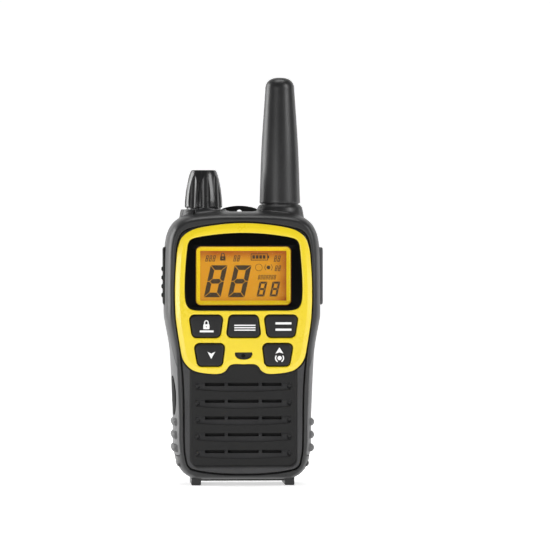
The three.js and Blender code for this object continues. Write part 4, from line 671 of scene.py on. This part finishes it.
def casing_form(growth=0.0):
    """The casing's outer form: its outline, drawn in at the front and the back on quarter ellipses."""
    rows = []
    for (width, extent), face, way in ((FRONT_ROUND, 0.0, 1), (BACK_ROUND, CASE_DEPTH, -1)):
        ends = [
            at_depth(inset(case_outline, width * c - growth, BOTTOM_ROUND_SHARE), face + way * extent * s)
            for c, s in quarter(18)
        ]
        rows += ends[::-way]
    return skinned(rows)


def top_height(x, depth):
    """The height of the casing's top at a place: its outline there, less the rounding at that depth."""
    upper = case_outline[case_outline[:, 1] > CASE_FOOT + CASE_HEIGHT * 0.6]
    upper = upper[np.argsort(upper[:, 0])]
    z = np.interp(x, upper[:, 0], upper[:, 1])
    slope = np.interp(x, upper[:, 0], np.gradient(upper[:, 1], upper[:, 0]))
    front = np.clip(1 - depth / FRONT_ROUND[1], 0, 1)
    back = np.clip(1 - (CASE_DEPTH - depth) / BACK_ROUND[1], 0, 1)
    width = FRONT_ROUND[0] * (1 - np.sqrt(1 - front**2)) + BACK_ROUND[0] * (1 - np.sqrt(1 - back**2))
    return z - width * np.sqrt(1 + np.minimum(slope**2, 9))


def collar_form(x, spigot=False):
    """A collar that flows out of the casing's top.

    At each angle a Bezier curve of four points joins the head, leaning back, to the foot, which lies on
    the casing's top further out and meets it at the top's own slope. The foot reaches furthest
    towards the middle of the casing.
    """
    turn = around(160)
    cos, sin = np.cos(turn), np.sin(turn)
    flare = COLLAR_FLARE[0] + COLLAR_FLARE[1] * (0.5 - 0.5 * cos * math.copysign(1, x))
    reach = COLLAR_RADIUS + flare

    def top(radius):
        return top_height(x + radius * cos, COLLAR_DEPTH + radius * sin)

    foot = top(reach) - 0.04
    lean = (top(reach) - top(reach - 0.4)) / 0.4
    full, head = np.full_like(foot, COLLAR_RADIUS), np.full_like(foot, COLLAR_TOP - COLLAR_RIM)
    drop, pull = head - foot, 0.62 * flare
    back, near = (full + 0.16 * drop, head - 0.6 * drop), (reach - pull, foot - lean * pull)
    curve, rows = np.array([(full, head), back, near, (reach, foot)]), []
    for t in np.linspace(1, 0, 16):
        weights = (1 - t) ** 3, 3 * t * (1 - t) ** 2, 3 * t**2 * (1 - t), t**3
        radius, z = np.tensordot(weights, curve, 1)
        rows.append(about(x, COLLAR_DEPTH, radius, z))
    under = [(5.0, CASE_TOP - 7)]
    over = [(COLLAR_RADIUS - 0.07, COLLAR_TOP - 0.07), (COLLAR_RADIUS - COLLAR_RIM, COLLAR_TOP)]
    if spigot:
        steps = ((0.95, 0.25), (0.78, 0.5), (0.45, 0.75), (0.15, 0.9), (0.03, 0.97), (0.0, 1.0))
        rise, width = SPIGOT_TOP - COLLAR_TOP + COLLAR_RIM, COLLAR_RADIUS - SPIGOT_RADIUS
        over = [(SPIGOT_RADIUS + width * w, COLLAR_TOP - COLLAR_RIM + rise * h) for w, h in steps]
    low, high = (turned(profile, x, COLLAR_DEPTH, 160) for profile in (under, over))
    return skinned([*low, *rows, *high])


def mouth(outline, radius, depth, face=0.0):
    """A cutter for an opening from the front whose rim is rounded to a radius at a face's depth."""
    rim = [(-radius * s, face + radius * c) for c, s in quarter(8)]
    return stacked(outline, [(-radius, face - 2), *rim, (0, depth)])


def side_bar(x, z, radius, d0, d1, sink):
    """A round bar along the depth whose ends sink towards the middle of the casing."""
    rows = []
    for d in np.linspace(d0, d1, 28):
        near = min(d - d0, d1 - d) / 3.2
        drop = sink * (1 - math.sqrt(max(0.0, 1 - (1 - min(near, 1.0)) ** 2)))
        rows.append(at_depth(disc(x - math.copysign(drop, x), z, radius, 40), d))
    return skinned(rows)


grip_outline = rounded(GRIP_CORNERS, 1.4, 12)
side_key_outline = rounded_box(*SIDE_KEY_BOX, 1.8, 12)


def oval_prism(growth=0.0):
    return side_prism(disc(0, 0, 1, 96) * (OVAL_HALVES + growth) + OVAL_CENTRE, -14, -FAR)


def upright_bar(x, depth, z0, z1, radius):
    return skinned(turned([(radius, z0), (radius, z1)], x, depth, 32))


def charge_hinge(half, radius):
    z = OVAL_CENTRE[1]
    return upright_bar(-HINGE_PLACE, HINGE_DEPTH, z - half, z + half, radius)


def casing_whole():
    """Both halves of the casing in one: outer form, collars, feet; hollowed, opened and let in."""
    feet = []
    for x in (-FOOT_PLACE, FOOT_PLACE):
        foot = rounded_box(x - FOOT_HALF_WIDTH, 0, x + FOOT_HALF_WIDTH, FOOT_HIGH, 0.5)
        feet.append(stacked(foot, FOOT_ROWS))
    corners = [side_bar(s * 23.7, 8.35, 1.3, 3.0, 22.0, 1.0) for s in (-1, 1)]
    skid = prism(rounded_box(-15.9, 1.3, 15.9, 3.2, 0.3, 3), 12, 22)
    added = [collar_form(-COLLAR_SPREAD), collar_form(COLLAR_SPREAD, True), *feet, *corners, skid]
    inner = casing_form(-POCKET_DEPTH)
    hole, window = inset(grip_outline, -SEAT_GAP), inset(side_key_outline, -SEAT_GAP)
    ledge_back = LEDGE_DEPTH + LEDGE_THICKNESS
    hollow = [
        prism(inset(case_outline, CASE_WALL), ledge_back, CASE_DEPTH - BACK_WALL),
        mouth(opening_outline, 0.4, LEDGE_DEPTH),
        prism(inset(opening_outline, LEDGE_WIDTH), 0.5, ledge_back + 1),
    ]
    openings = [
        *(combined(side_prism(hole, s * 14, s * FAR), minus(inner)) for s in (-1, 1)),
        combined(oval_prism(SEAT_GAP), minus(inner)),
        side_prism(window, -25.5, -FAR),
        side_prism(window, 27.9, FAR),
        *(side_prism(disc(JACK_DEPTH, z, JACK_BORE, 48), 25, 29) for z in JACK_HEIGHTS),
        side_prism(disc(CHARGE_BORE_DEPTH, OVAL_CENTRE[1], CHARGE_BORE, 48), -21.6, -29),
        *(upright_bar(s * COLLAR_SPREAD, COLLAR_DEPTH, 96, 107, r) for s, r in zip((-1, 1), COLLAR_BORES)),
        collar_notch(),
        *screw_wells(),
    ]
    bosses = [prism(disc(x, z, 2.6), ledge_back, face - 0.5) for x, z, face in SCREWS]
    return combined(casing_form(), plus(*added) + minus(*hollow) + plus(*bosses) + minus(*openings))


def screw_wells():
    wells = []
    for x, z, face in SCREWS:
        steps = (1.35, 6.75 - face), (1.35, -1.7), (2.15, -1.7), (2.15, -0.2), (2.35, 0), (2.35, 3)
        wells.append(skinned([at_depth(disc(x, z, radius), face + d) for radius, d in steps]))
    return wells


def collar_notch():
    """A narrow upright slot in the left collar's rim, turned a little from the front."""
    t = -math.pi / 2 + NOTCH_TURN
    along, across = np.array([math.cos(t), math.sin(t)]), np.array([-math.sin(t), math.cos(t)])
    ring = [along * r + across * w for r, w in ((8.0, -0.475), (9.8, -0.475), (9.8, 0.475), (8.0, 0.475))]
    ring = np.array(ring) + (-COLLAR_SPREAD, RIM + COLLAR_DEPTH)
    return skinned([np.column_stack([ring, np.full(4, z)]) for z in (COLLAR_TOP - 2.6, COLLAR_TOP + 1)])


def rear_cuts():
    """The battery bay, the door's seat, its rails' grooves and the four screws' wells."""
    return minus(
        block(-21.7, 21.7, PARTING + PARTING_GAP + 1.15, 31, 8.4, 63.1),
        block(-FAR, FAR, DOOR_FRONT, FAR, -5, 65.7),
        *blocks(RAILS, GROOVE_HALF, 25.2, 28, -2, 60.7),
        *screw_wells(),
    )


def knob_form():
    """The knob: a turned profile whose radius is cut by concave flutes and an upright pointer slot.

    At each height and angle, a flute whose axis leans in with the height leaves the radius at
    which the ray from the knob's axis meets its circle, where that is smaller.
    """
    neck = KNOB_RADIUS - KNOB_NECK_RADIUS
    base = ((neck, -KNOB_NECK_DROP), (neck, -0.01), (0.45, 0), (0.2, 0.1), (0.05, 0.3))
    base = [(KNOB_RADIUS - r, z / KNOB_HEIGHT) for r, z in base]
    side = smooth_profile(KNOB_SHARES, 90) * (KNOB_RADIUS, 1)
    top = side[-1, 0]
    rim = [(top - 0.12, 1.006), (top - 0.35, 1.008), (top - 0.7, 1.002), (top - 1.3, 0.998), (0.4, 0.996)]
    profile = np.vstack([base, side, rim])
    uncut, blend, turn = 20.0, 0.3, around(640)
    step = 2 * math.pi / FLUTES
    off = (turn + math.pi / 2 - FLUTE_PHASE * step + step / 2) % step - step / 2
    full, height = profile[:, :1], profile[:, 1:] * KNOB_HEIGHT
    reach = KNOB_RADIUS - FLUTE_DEPTH + FLUTE_RADIUS - height * math.tan(FLUTE_LEAN)
    inside = FLUTE_RADIUS**2 - (reach * np.sin(off)) ** 2
    near = reach * np.cos(off) - np.sqrt(np.maximum(inside, 0))
    cut = np.where((inside > 0) & (height >= -0.005), near, uncut)
    share = np.clip(0.5 + (full - cut) / blend, 0, 1)
    radius = full + (np.minimum(cut, full + blend / 2) - full) * share
    pointer = (turn + math.pi / 2 - step * (FLUTE_PHASE - 0.5) + math.pi) % (2 * math.pi) - math.pi
    slot = np.clip(1.5 - np.abs(radius * np.sin(pointer)) / POINTER_HALF_WIDTH, 0, 1)
    slot *= (np.abs(pointer) < 1) * np.clip((POINTER_SHARE * KNOB_HEIGHT - height) / 0.3, 0, 1)
    radius = radius - POINTER_DEPTH * slot
    return skinned(about(-COLLAR_SPREAD, COLLAR_DEPTH, radius, KNOB_LOW + height))


def antenna_form():
    """The antenna's sheath: a gentle taper, a dome on a quarter superellipse and a small foot edge."""
    (foot, tip), low = ANTENNA_RADII, ANTENNA_LOW
    length = ANTENNA_TOP - ANTENNA_DOME - low
    side = smooth_profile(ANTENNA_SHARES, 40) * (foot - tip, length) + (tip, low)
    angle = np.linspace(0, math.pi / 2 - 0.02, 24)[1:]
    rise = ANTENNA_DOME * np.sin(angle) ** DOME_FULLNESS
    dome = np.column_stack([tip * np.cos(angle) ** DOME_FULLNESS, ANTENNA_TOP - ANTENNA_DOME + rise])
    neck = [(foot - 0.7, low - 0.27), (foot - 0.7, low), (foot - 0.4, low), (foot - 0.1, low + 0.12)]
    return skinned(turned(np.vstack([neck, side, dome]), COLLAR_SPREAD, COLLAR_DEPTH, 96))


# The front panel with its louvres


def louvre_scoop(top):
    """One louvre's cutter, lofted along x: from a bowed lower lip, over a short bevel, in to its top."""
    low, front, deep = top - LOUVRE_HEIGHT, PANEL_RECESS - 1, PANEL_RECESS + LOUVRE_SCOOP
    rows = []
    for share in np.linspace(-1, 1, 33):
        lip = low - LOUVRE_BOW * (1 - share**2)
        ring = [(front, top), (front, lip - 0.1), (PANEL_RECESS, lip - 0.1), (PANEL_RECESS + 0.2, lip + 0.1)]
        ring += [(deep - 0.25, top - LOUVRE_SLOT), (deep, top)]
        rows.append(at_side(np.array(ring), share * LOUVRE_HALF_WIDTH))
    return rows


def dimple(x, z, radius=1.0):
    """A ball let into the panel at a louvre's end."""
    angle = np.linspace(-math.pi / 2 + 0.05, math.pi / 2 - 0.05, 15)
    return turned(arc(0, z, radius, angle), x, PANEL_RECESS + DIMPLE_SINK, 28)


def front_panel():
    """The panel: a round edge, a sunk field with its louvres, and room for the plate and the keys."""
    ends = [dimple(x, top - DIMPLE_DROP) for top in LOUVRE_TOPS for x in (-DIMPLE_PLACE, DIMPLE_PLACE)]
    slots = [
        block(x0, x1, PANEL_RECESS, PANEL_THICKNESS + 1, top - LOUVRE_SLOT, top)
        for top in LOUVRE_TOPS
        for x0, x1 in LOUVRE_PIECES
    ]
    edge = [(PANEL_EDGE * s, PANEL_EDGE * c) for c, s in quarter(5)]
    body = stacked(inset(opening_outline, 0.5), [*edge, (0, PANEL_THICKNESS)])
    sink = [(-PANEL_SLOPE, -1.0)]
    for t in np.linspace(0, 1, 11):
        sink.append((PANEL_SLOPE * (t - 1), PANEL_RECESS * t * t * (3 - 2 * t) + 0.001 * t))
    removed = [
        stacked(rounded_box(*SUNK_BOX, SUNK_CORNER, 14), sink),
        prism(inset(bezel_outline, -0.6), -1, 1.5),
        *(block(x, x + s * 10, -1, 1.5, 48.5, 120) for x, s in ((22.0, 1), (-22.0, -1))),
        skinned(*map(louvre_scoop, LOUVRE_TOPS)),
        skinned(*ends),
        *slots,
        *(prism(hole, 0, 5) for hole in key_holes),
        prism(display_outline(1.2), 0, 5),
        prism(disc(0, MICROPHONE_HEIGHT, MICROPHONE_RADIUS), 0, 5),
    ]
    return combined(body, minus(*removed))


def face_plate():
    """The yellow plate: a small round edge, a broad flat slope up to the face, openings with round rims."""
    rows = [(0, BEZEL_THICKNESS - BEZEL_PROUD), *((e, drop - BEZEL_PROUD) for e, drop in BEZEL_EDGE)]
    rims = [(hole, 0.45) for hole in (*key_holes, inset(window_outline, -0.25))] + [(mic_outline, 0.35)]
    holes = [mouth(hole, rim, 3, -BEZEL_PROUD) for hole, rim in rims]
    return combined(stacked(bezel_outline, rows), minus(*holes))


# The sides


def side_grip(side):
    """A rubber inlay: the casing's own side in the inlay's outline, with three round ribs."""
    ribs = [side_bar(side * GRIP_RIB_PLACE, z, GRIP_RIB_RADIUS, 2.7, 19.7, 1.0) for z in GRIP_RIBS]
    steps = within(casing_form()) + plus(*ribs) + minus(casing_form(-GRIP_THICKNESS))
    if side < 0:
        steps += minus(oval_prism(SEAT_GAP), charge_hinge(HINGE_ROOM_HALF, HINGE_RADIUS + HINGE_ROOM))
    return combined(side_prism(grip_outline, side * 14, side * FAR), steps)


def side_pad(outline, base, face, edge, side, crown=0.0):
    """A pad on a side: straight walls up from its base, a round edge, a crowned face."""
    shares = (0.8, 0.55, 0.3, 0.08)
    rows = crowned(outline, lambda ring, drop: at_side(ring, side * (face - drop)), edge, crown, shares)
    return skinned([at_side(outline, side * base), *rows])


def talk_key():
    """The talk key: a soft pad, its flange behind the wall, and four cross ribs."""
    flange = side_prism(inset(side_key_outline, -0.9), -24.8, -25.6)
    ribs = [rounded_box(10.3, z - TALK_RIB_HALF, 17.7, z + TALK_RIB_HALF, 0.6) for z in TALK_RIBS]
    ribs = [side_pad(rib, 29.3, SIDE_KEY_FACE, 0.55, -1) for rib in ribs]
    return combined(side_pad(side_key_outline, 24.8, 29.95, 0.6, -1, 0.05), plus(flange, *ribs))


def jack_cover():
    """The lid over the jacks: a plate that ends at its knuckle's line, the knuckle, and a finger groove."""
    extent = combined(block(20, FAR, -5, 18, 60, 100), plus(block(20, FAR, -6, JACK_HINGE_DEPTH, 69.3, 88.2)))
    knuckle = upright_bar(JACK_HINGE_PLACE, JACK_HINGE_DEPTH, 72.75, 84.75, JACK_HINGE_RADIUS)
    outline = rounded_box(9.5, 69.1, 10.7, 88.4, 0.4)
    groove = skinned([at_side(inset(outline, e), x) for e, x in ((0, 31), (0.1, 30.2), (0.3, 30.1))])
    lid = side_pad(side_key_outline, 28.2, SIDE_KEY_FACE, 0.6, 1)
    return combined(lid, within(extent) + plus(knuckle) + minus(groove))


def charge_cover():
    """The oval lid over the charging socket, following the casing's side, with its knuckle behind."""
    steps = within(casing_form(0.25)) + minus(casing_form(-GRIP_THICKNESS))
    steps += within(block(-FAR, FAR, -5, HINGE_DEPTH, 20, 50)) + plus(charge_hinge(HINGE_HALF, HINGE_RADIUS))
    return combined(oval_prism(), steps)


def battery_door():
    """The door: the casing's back below a line, its rails, and a snap tongue between two slits."""
    rails = blocks(RAILS, RAIL_HALF, 25.5, 27.95, 13.4, 60.4)
    slits = blocks((-6, 6), 0.4, 25, 31, 56.4, 67)
    grooves = [block(-5.2, 5.2, 28.5, 31, z - 0.25, z + 0.25) for z in (58.5, 60.1, 61.7, 63.3)]
    back = within(block(-50, 50, DOOR_FRONT + 0.3, FAR, -5, 65.4))
    return combined(casing_form(), back + plus(*rails) + minus(*slits, *grooves))


def belt_clip():
    """The clip: a flat arm whose outline ends in an arch, its nose, hub, lanyard eye and thumb flute."""
    width = (-CLIP_HALF_WIDTH, CLIP_HALF_WIDTH)
    arm = side_prism(rounded_box(33.6, CLIP_LOW, 36, 107, 0.7), *width)
    face = outline_through(CLIP_SHARES, CLIP_HALF_WIDTH, CLIP_LOW, CLIP_TOP - CLIP_LOW, 320)
    steps = plus(side_prism(rounded(CLIP_NOSE, 0.4), *width)) + within(prism(face, 27, FAR))
    steps += plus(side_prism(disc(*CLIP_HUB, CLIP_HUB_RADIUS, 48), *width))
    steps += minus(
        side_prism(disc(*CLIP_HUB, CLIP_HUB_RADIUS / 2), -9, 9),
        side_prism(disc(*CLIP_HUB, 2.5, 48), -2.5, 2.5),
        prism(disc(0, CLIP_EYE, 1.1), 32, 38),
        side_prism(disc(49.1, 97, 14, 180), -5.4, 5.4),
    )
    return combined(arm, steps)


def case_screw(node, x, z):
    """A casing screw with a cross recess in its head."""
    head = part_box(node)[1][1] / MM - RIM
    bars = [block(x - w, x + w, head - 0.7, head + 1, z - h, z + h) for w, h in ((1.15, 0.25), (0.25, 1.15))]
    return combined(joined(node), minus(*bars))


# The keys and their legends


def key_form(name):
    """A rubber key on its flange, with a round edge and a slightly crowned face."""
    outline, front = key_outline(name), -BEZEL_PROUD - KEY_PROUD
    flange, shares = inset(outline, -KEY_FLANGE), (0.85, 0.65, 0.45, 0.25, 0.08)
    rows = [at_depth(flange, KEY_BACK), at_depth(flange, KEY_FOOT), at_depth(outline, KEY_FOOT)]
    rows += crowned(outline, lambda ring, drop: at_depth(ring, front + drop), KEY_EDGE, KEY_CROWN, shares)
    return skinned(rows)


def photo_point(px, pz):
    """Where a pixel of the 550 pixel photograph lies in the front view, in millimetres."""
    return (px - 243.0) * 0.375, (486.0 - pz) * 0.375


def photo_shape(points):
    return np.array([photo_point(*p) for p in points])


def legend(name, outlines, body):
    """White print on a key: outlines filled, those inside another left open."""
    plate(name, outlines, -BEZEL_PROUD - KEY_PROUD - 0.02, 0.06, "key_rubber", body, "legend_white")


def printed(name, outlines):
    """Dark segments and marks on the display's face."""
    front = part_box("display_glass")[0][1] / MM - RIM - 0.03
    plate(name, outlines, front, 0.04, "display", finish="segment_brown")


def ring_arc(x, z, radius, width, start, extent=100):
    """A band along an arc, from an angle on, in degrees."""
    turn = np.radians(np.linspace(start, start + extent, 24))
    return np.vstack([arc(x, z, radius + width / 2, turn), arc(x, z, radius - width / 2, turn[::-1])])


def padlock(x, z, width):
    """A closed padlock: a body with a keyhole, and a shackle bent over it."""
    w = width / 2
    top = z + w * 0.44
    body = rounded_box(x - w, z - w * 1.15, x + w, top, w * 0.18, 3)
    outer, inner = np.split(ring_arc(x, top + w * 0.6, w * 0.57, w * 0.34, 0, 180), 2)
    ends = [[(x + w * reach, top + 0.02)] for reach in (0.74, -0.74, -0.4, 0.4)]
    shackle = np.vstack([ends[0], outer, *ends[1:3], inner, ends[3]])
    return [body, disc(x, z - w * 0.35, w * 0.2, 16), shackle]


def digit_segments(x0, z0, width, height, stroke, gap, lean=0.22):
    """The seven mitred segments of a digit above its lower left corner, leaning right by a slope."""
    w, t, s, h, g = width / 2, height / 2, stroke, stroke / 2, gap
    cap = [(-w + g, t), (-w + s + g, t - s), (w - s - g, t - s), (w - g, t)]
    post = [(-w, t - g), (-w, g), (-w + h, g), (-w + s, h + g), (-w + s, t - s - g)]
    bar = [(h + g - w, 0), (s + g - w, -h), (w - s - g, -h), (w - h - g, 0), (w - s - g, h), (s + g - w, h)]
    shapes = [np.array(bar)] + [np.array(cap) * (1, b) for b in (1, -1)]
    shapes += [np.array(post) * (a, b) for a in (1, -1) for b in (1, -1)]
    return [np.column_stack([x0 + w + x + (z + t) * lean, z0 + t + z]) for x, z in (q.T for q in shapes)]


# Everything in its place

bow = np.linspace(math.pi, 2 * math.pi, 41)
bow = np.column_stack([3.25 * np.cos(bow), 49.9 - 2.35 * np.abs(np.sin(bow)) ** 0.75])
mic_outline = np.vstack([bow, rounded_box(-3.25, 49.0, 3.25, 50.25, 0.35, 5)[13:-1]])
key_holes = [inset(key_outline(name), -SEAT_GAP) for name in KEY_CORNERS]

whole, rear_front = casing_whole(), PARTING + PARTING_GAP
front_half = combined(whole, within(block(-50, 50, -10, PARTING, -10, 120)))
rear_half = combined(whole, within(block(-50, 50, rear_front, FAR, -10, 120)))
bay_block = prism(inset(case_outline, CASE_WALL - 0.4), rear_front, DOOR_FRONT)
bay_block = combined(bay_block, within(block(-50, 50, -10, FAR, -10, 66.55)))
stand_in("front_case", front_half, name="front_shell")
stand_in("rear_case", combined(rear_half, plus(bay_block) + rear_cuts()), name="rear_shell")
stand_in("front_panel", front_panel(), name="grille_panel")
# The grips' finish holds a painted sheen, lighter than the side rubber
stand_in("side_grip_left", side_grip(-1), finish="grip_rubber_painted_sheen")
stand_in("side_grip_right", side_grip(1), finish="grip_rubber_painted_sheen")
stand_in("talk_key", talk_key(), 50, "soft_rubber", slot="side_rubber")
stand_in("jack_cover", jack_cover(), 40)
stand_in("charge_cover", charge_cover(), slot="soft_rubber")
stand_in("battery_door", battery_door())
plate("microphone_felt", [disc(0, MICROPHONE_HEIGHT, MICROPHONE_RADIUS - 0.02)], 1.9, 0.4, "paper_black")
stand_in("face_bezel", face_plate(), 40, name="face_plate")
surround = [window_outline, display_outline(0.25)]
surround = flat_mesh(surround, WINDOW_SINK - BEZEL_PROUD, BEZEL_THICKNESS - BEZEL_PROUD, 0.2)
stand_in("window_surround", surround, 50, name="window_frame")
bevel_rows = [(0, 0.7), (-0.25, 0.7), (-0.38, 0.76), (-0.46, 0.9), (-1.42, 1.92), (-1.5, 2.0), (0, 2.0)]
bevel_rows = [at_depth(display_outline(g), d) for g, d in bevel_rows]
stand_in("display_bevel", skinned(bevel_rows, wrap=True), 40, name="display_edge")
for name in KEY_CORNERS:
    stand_in(name, key_form(name), 60, name=name + "_cap")
stand_in("volume_knob", knob_form(), 40, name="knob_form")
stand_in("antenna_sheath", antenna_form(), 60, name="antenna_form")

legend("lock_mark", padlock(*photo_point(205.7, 325.2), 2.3), "button_top_left")
down = photo_shape([(210.5, 358.4), (214.5, 351.2), (210.6, 353.2), (206.8, 351.2)])
legend("down_mark", [down], "button_down")
up = photo_shape([(274.8, 353.2), (278.8, 352.0), (282.8, 353.2), (278.8, 347.0)])
at = photo_point(278.9, 357.7)
waves = [ring_arc(*at, 1.5, 0.42, start) for start in (-62, 142)]
legend("up_mark", [up, disc(*at, 0.8), *waves], "button_up")


def bars(px, pz, half, thick, heights=(0,)):
    """Plain bars, one under another, about a pixel of the photograph."""
    x, z = photo_point(px, pz)
    return [rounded_box(x - half, z + h - thick / 2, x + half, z + h + thick / 2, 0.15, 3) for h in heights]


legend("menu_mark", bars(244.2, 327.3, 4.0, 0.44, (-0.9, 0, 0.9)), "button_top_middle")
legend("call_mark", bars(206.0, 330.9, 2.6, 0.7), "button_top_left")
legend("watch_mark", bars(282.8, 323.0, 3.0, 0.8), "button_top_right")
legend("search_mark", bars(282.8, 329.3, 3.0, 0.8), "button_top_right")

digits = []
large, small = (6.3, 12.0, 1.75, 0.14), (2.9, 5.6, 0.8, 0.07)
for px, pz, size in (203.4, 297, large), (227.4, 297, large), (256.2, 296.3, small), (269.2, 296.3, small):
    digits += digit_segments(*photo_point(px, pz), *size)
printed("display_digits", digits)
marks = padlock(*photo_point(222.5, 257.2), 2.0)
bx, bz = photo_point(259.6, 256.7)
cells = [(x, x + 1, 0.65) for x in (-2.8, -1.5, -0.2, 1.1)]
for x0, x1, half in (-3.4, 3.0, 1.3), (-3.15, 2.75, 1.05), (3.05, 3.5, 0.55), *cells:
    marks.append(rounded_box(bx + x0, bz - half, bx + x1, bz + half, 0.1, 3))
at = photo_point(268.3, 267.2)
marks += [disc(*at, 0.72)] + [ring_arc(*at, 1.4, 0.2, start) for start in (-50, 130)]
marks += [disc(*photo_point(258.6, 267.2), radius) for radius in (1.35, 1.2)]
figures = [(204.8, 261.2, 3, 2.3), (232.8, 261.2, 2, 2.3), (273.4, 261.4, 2, 2.3), (274.3, 270.8, 2, 2.1)]
for px, pz, count, height in [*figures, (257.5, 279.2, 7, 1.7)]:
    x, z = photo_point(px, pz)
    for k in range(count):
        marks += digit_segments(x + k * height * 0.58, z, height * 0.4, height, height * 0.12, 0.02)
printed("display_marks", marks)

rounded_edges(stand_in("belt_clip", belt_clip()), 0.25)
for k, (x, z, _) in enumerate(SCREWS, 1):
    stand_in(f"case_screw_{k}", case_screw(f"case_screw_{k}", x, z), finish="screw_zinc")
for node in nodes:
    if node not in stood_for:
        made = stand_in(node, joined(node))
        if node == "clip_bracket":
            rounded_edges(made, 0.15)

# The floor, curving up into a backdrop; metres
FLOOR_SIDE, BEND_START, BEND_RADIUS, BACKDROP_TOP = 3.0, 1.2, 0.9, 2.4
bend = arc(BEND_START, BEND_RADIUS, BEND_RADIUS, np.linspace(-math.pi / 2, 0, 20))
curve = [(-FLOOR_SIDE, 0), *bend, (BEND_START + BEND_RADIUS, BACKDROP_TOP)]
points = [(x, y, z) for y, z in curve for x in (-FLOOR_SIDE, FLOOR_SIDE)]
sweep = bpy.data.meshes.new("backdrop")
sweep.from_pydata(points, [], [(i, i + 1, i + 3, i + 2) for i in range(0, len(points) - 2, 2)])
backdrop = placed("backdrop", sweep)
paper = Finish("backdrop")
white = paper.mix(paper.noise(3, 2), 0.92, 0.94)
sweep.materials.append(
    paper.set(Base_Color=white, Emission_Color=white, Emission_Strength=0.62, Roughness=0.9)
)
sweep.shade_smooth()
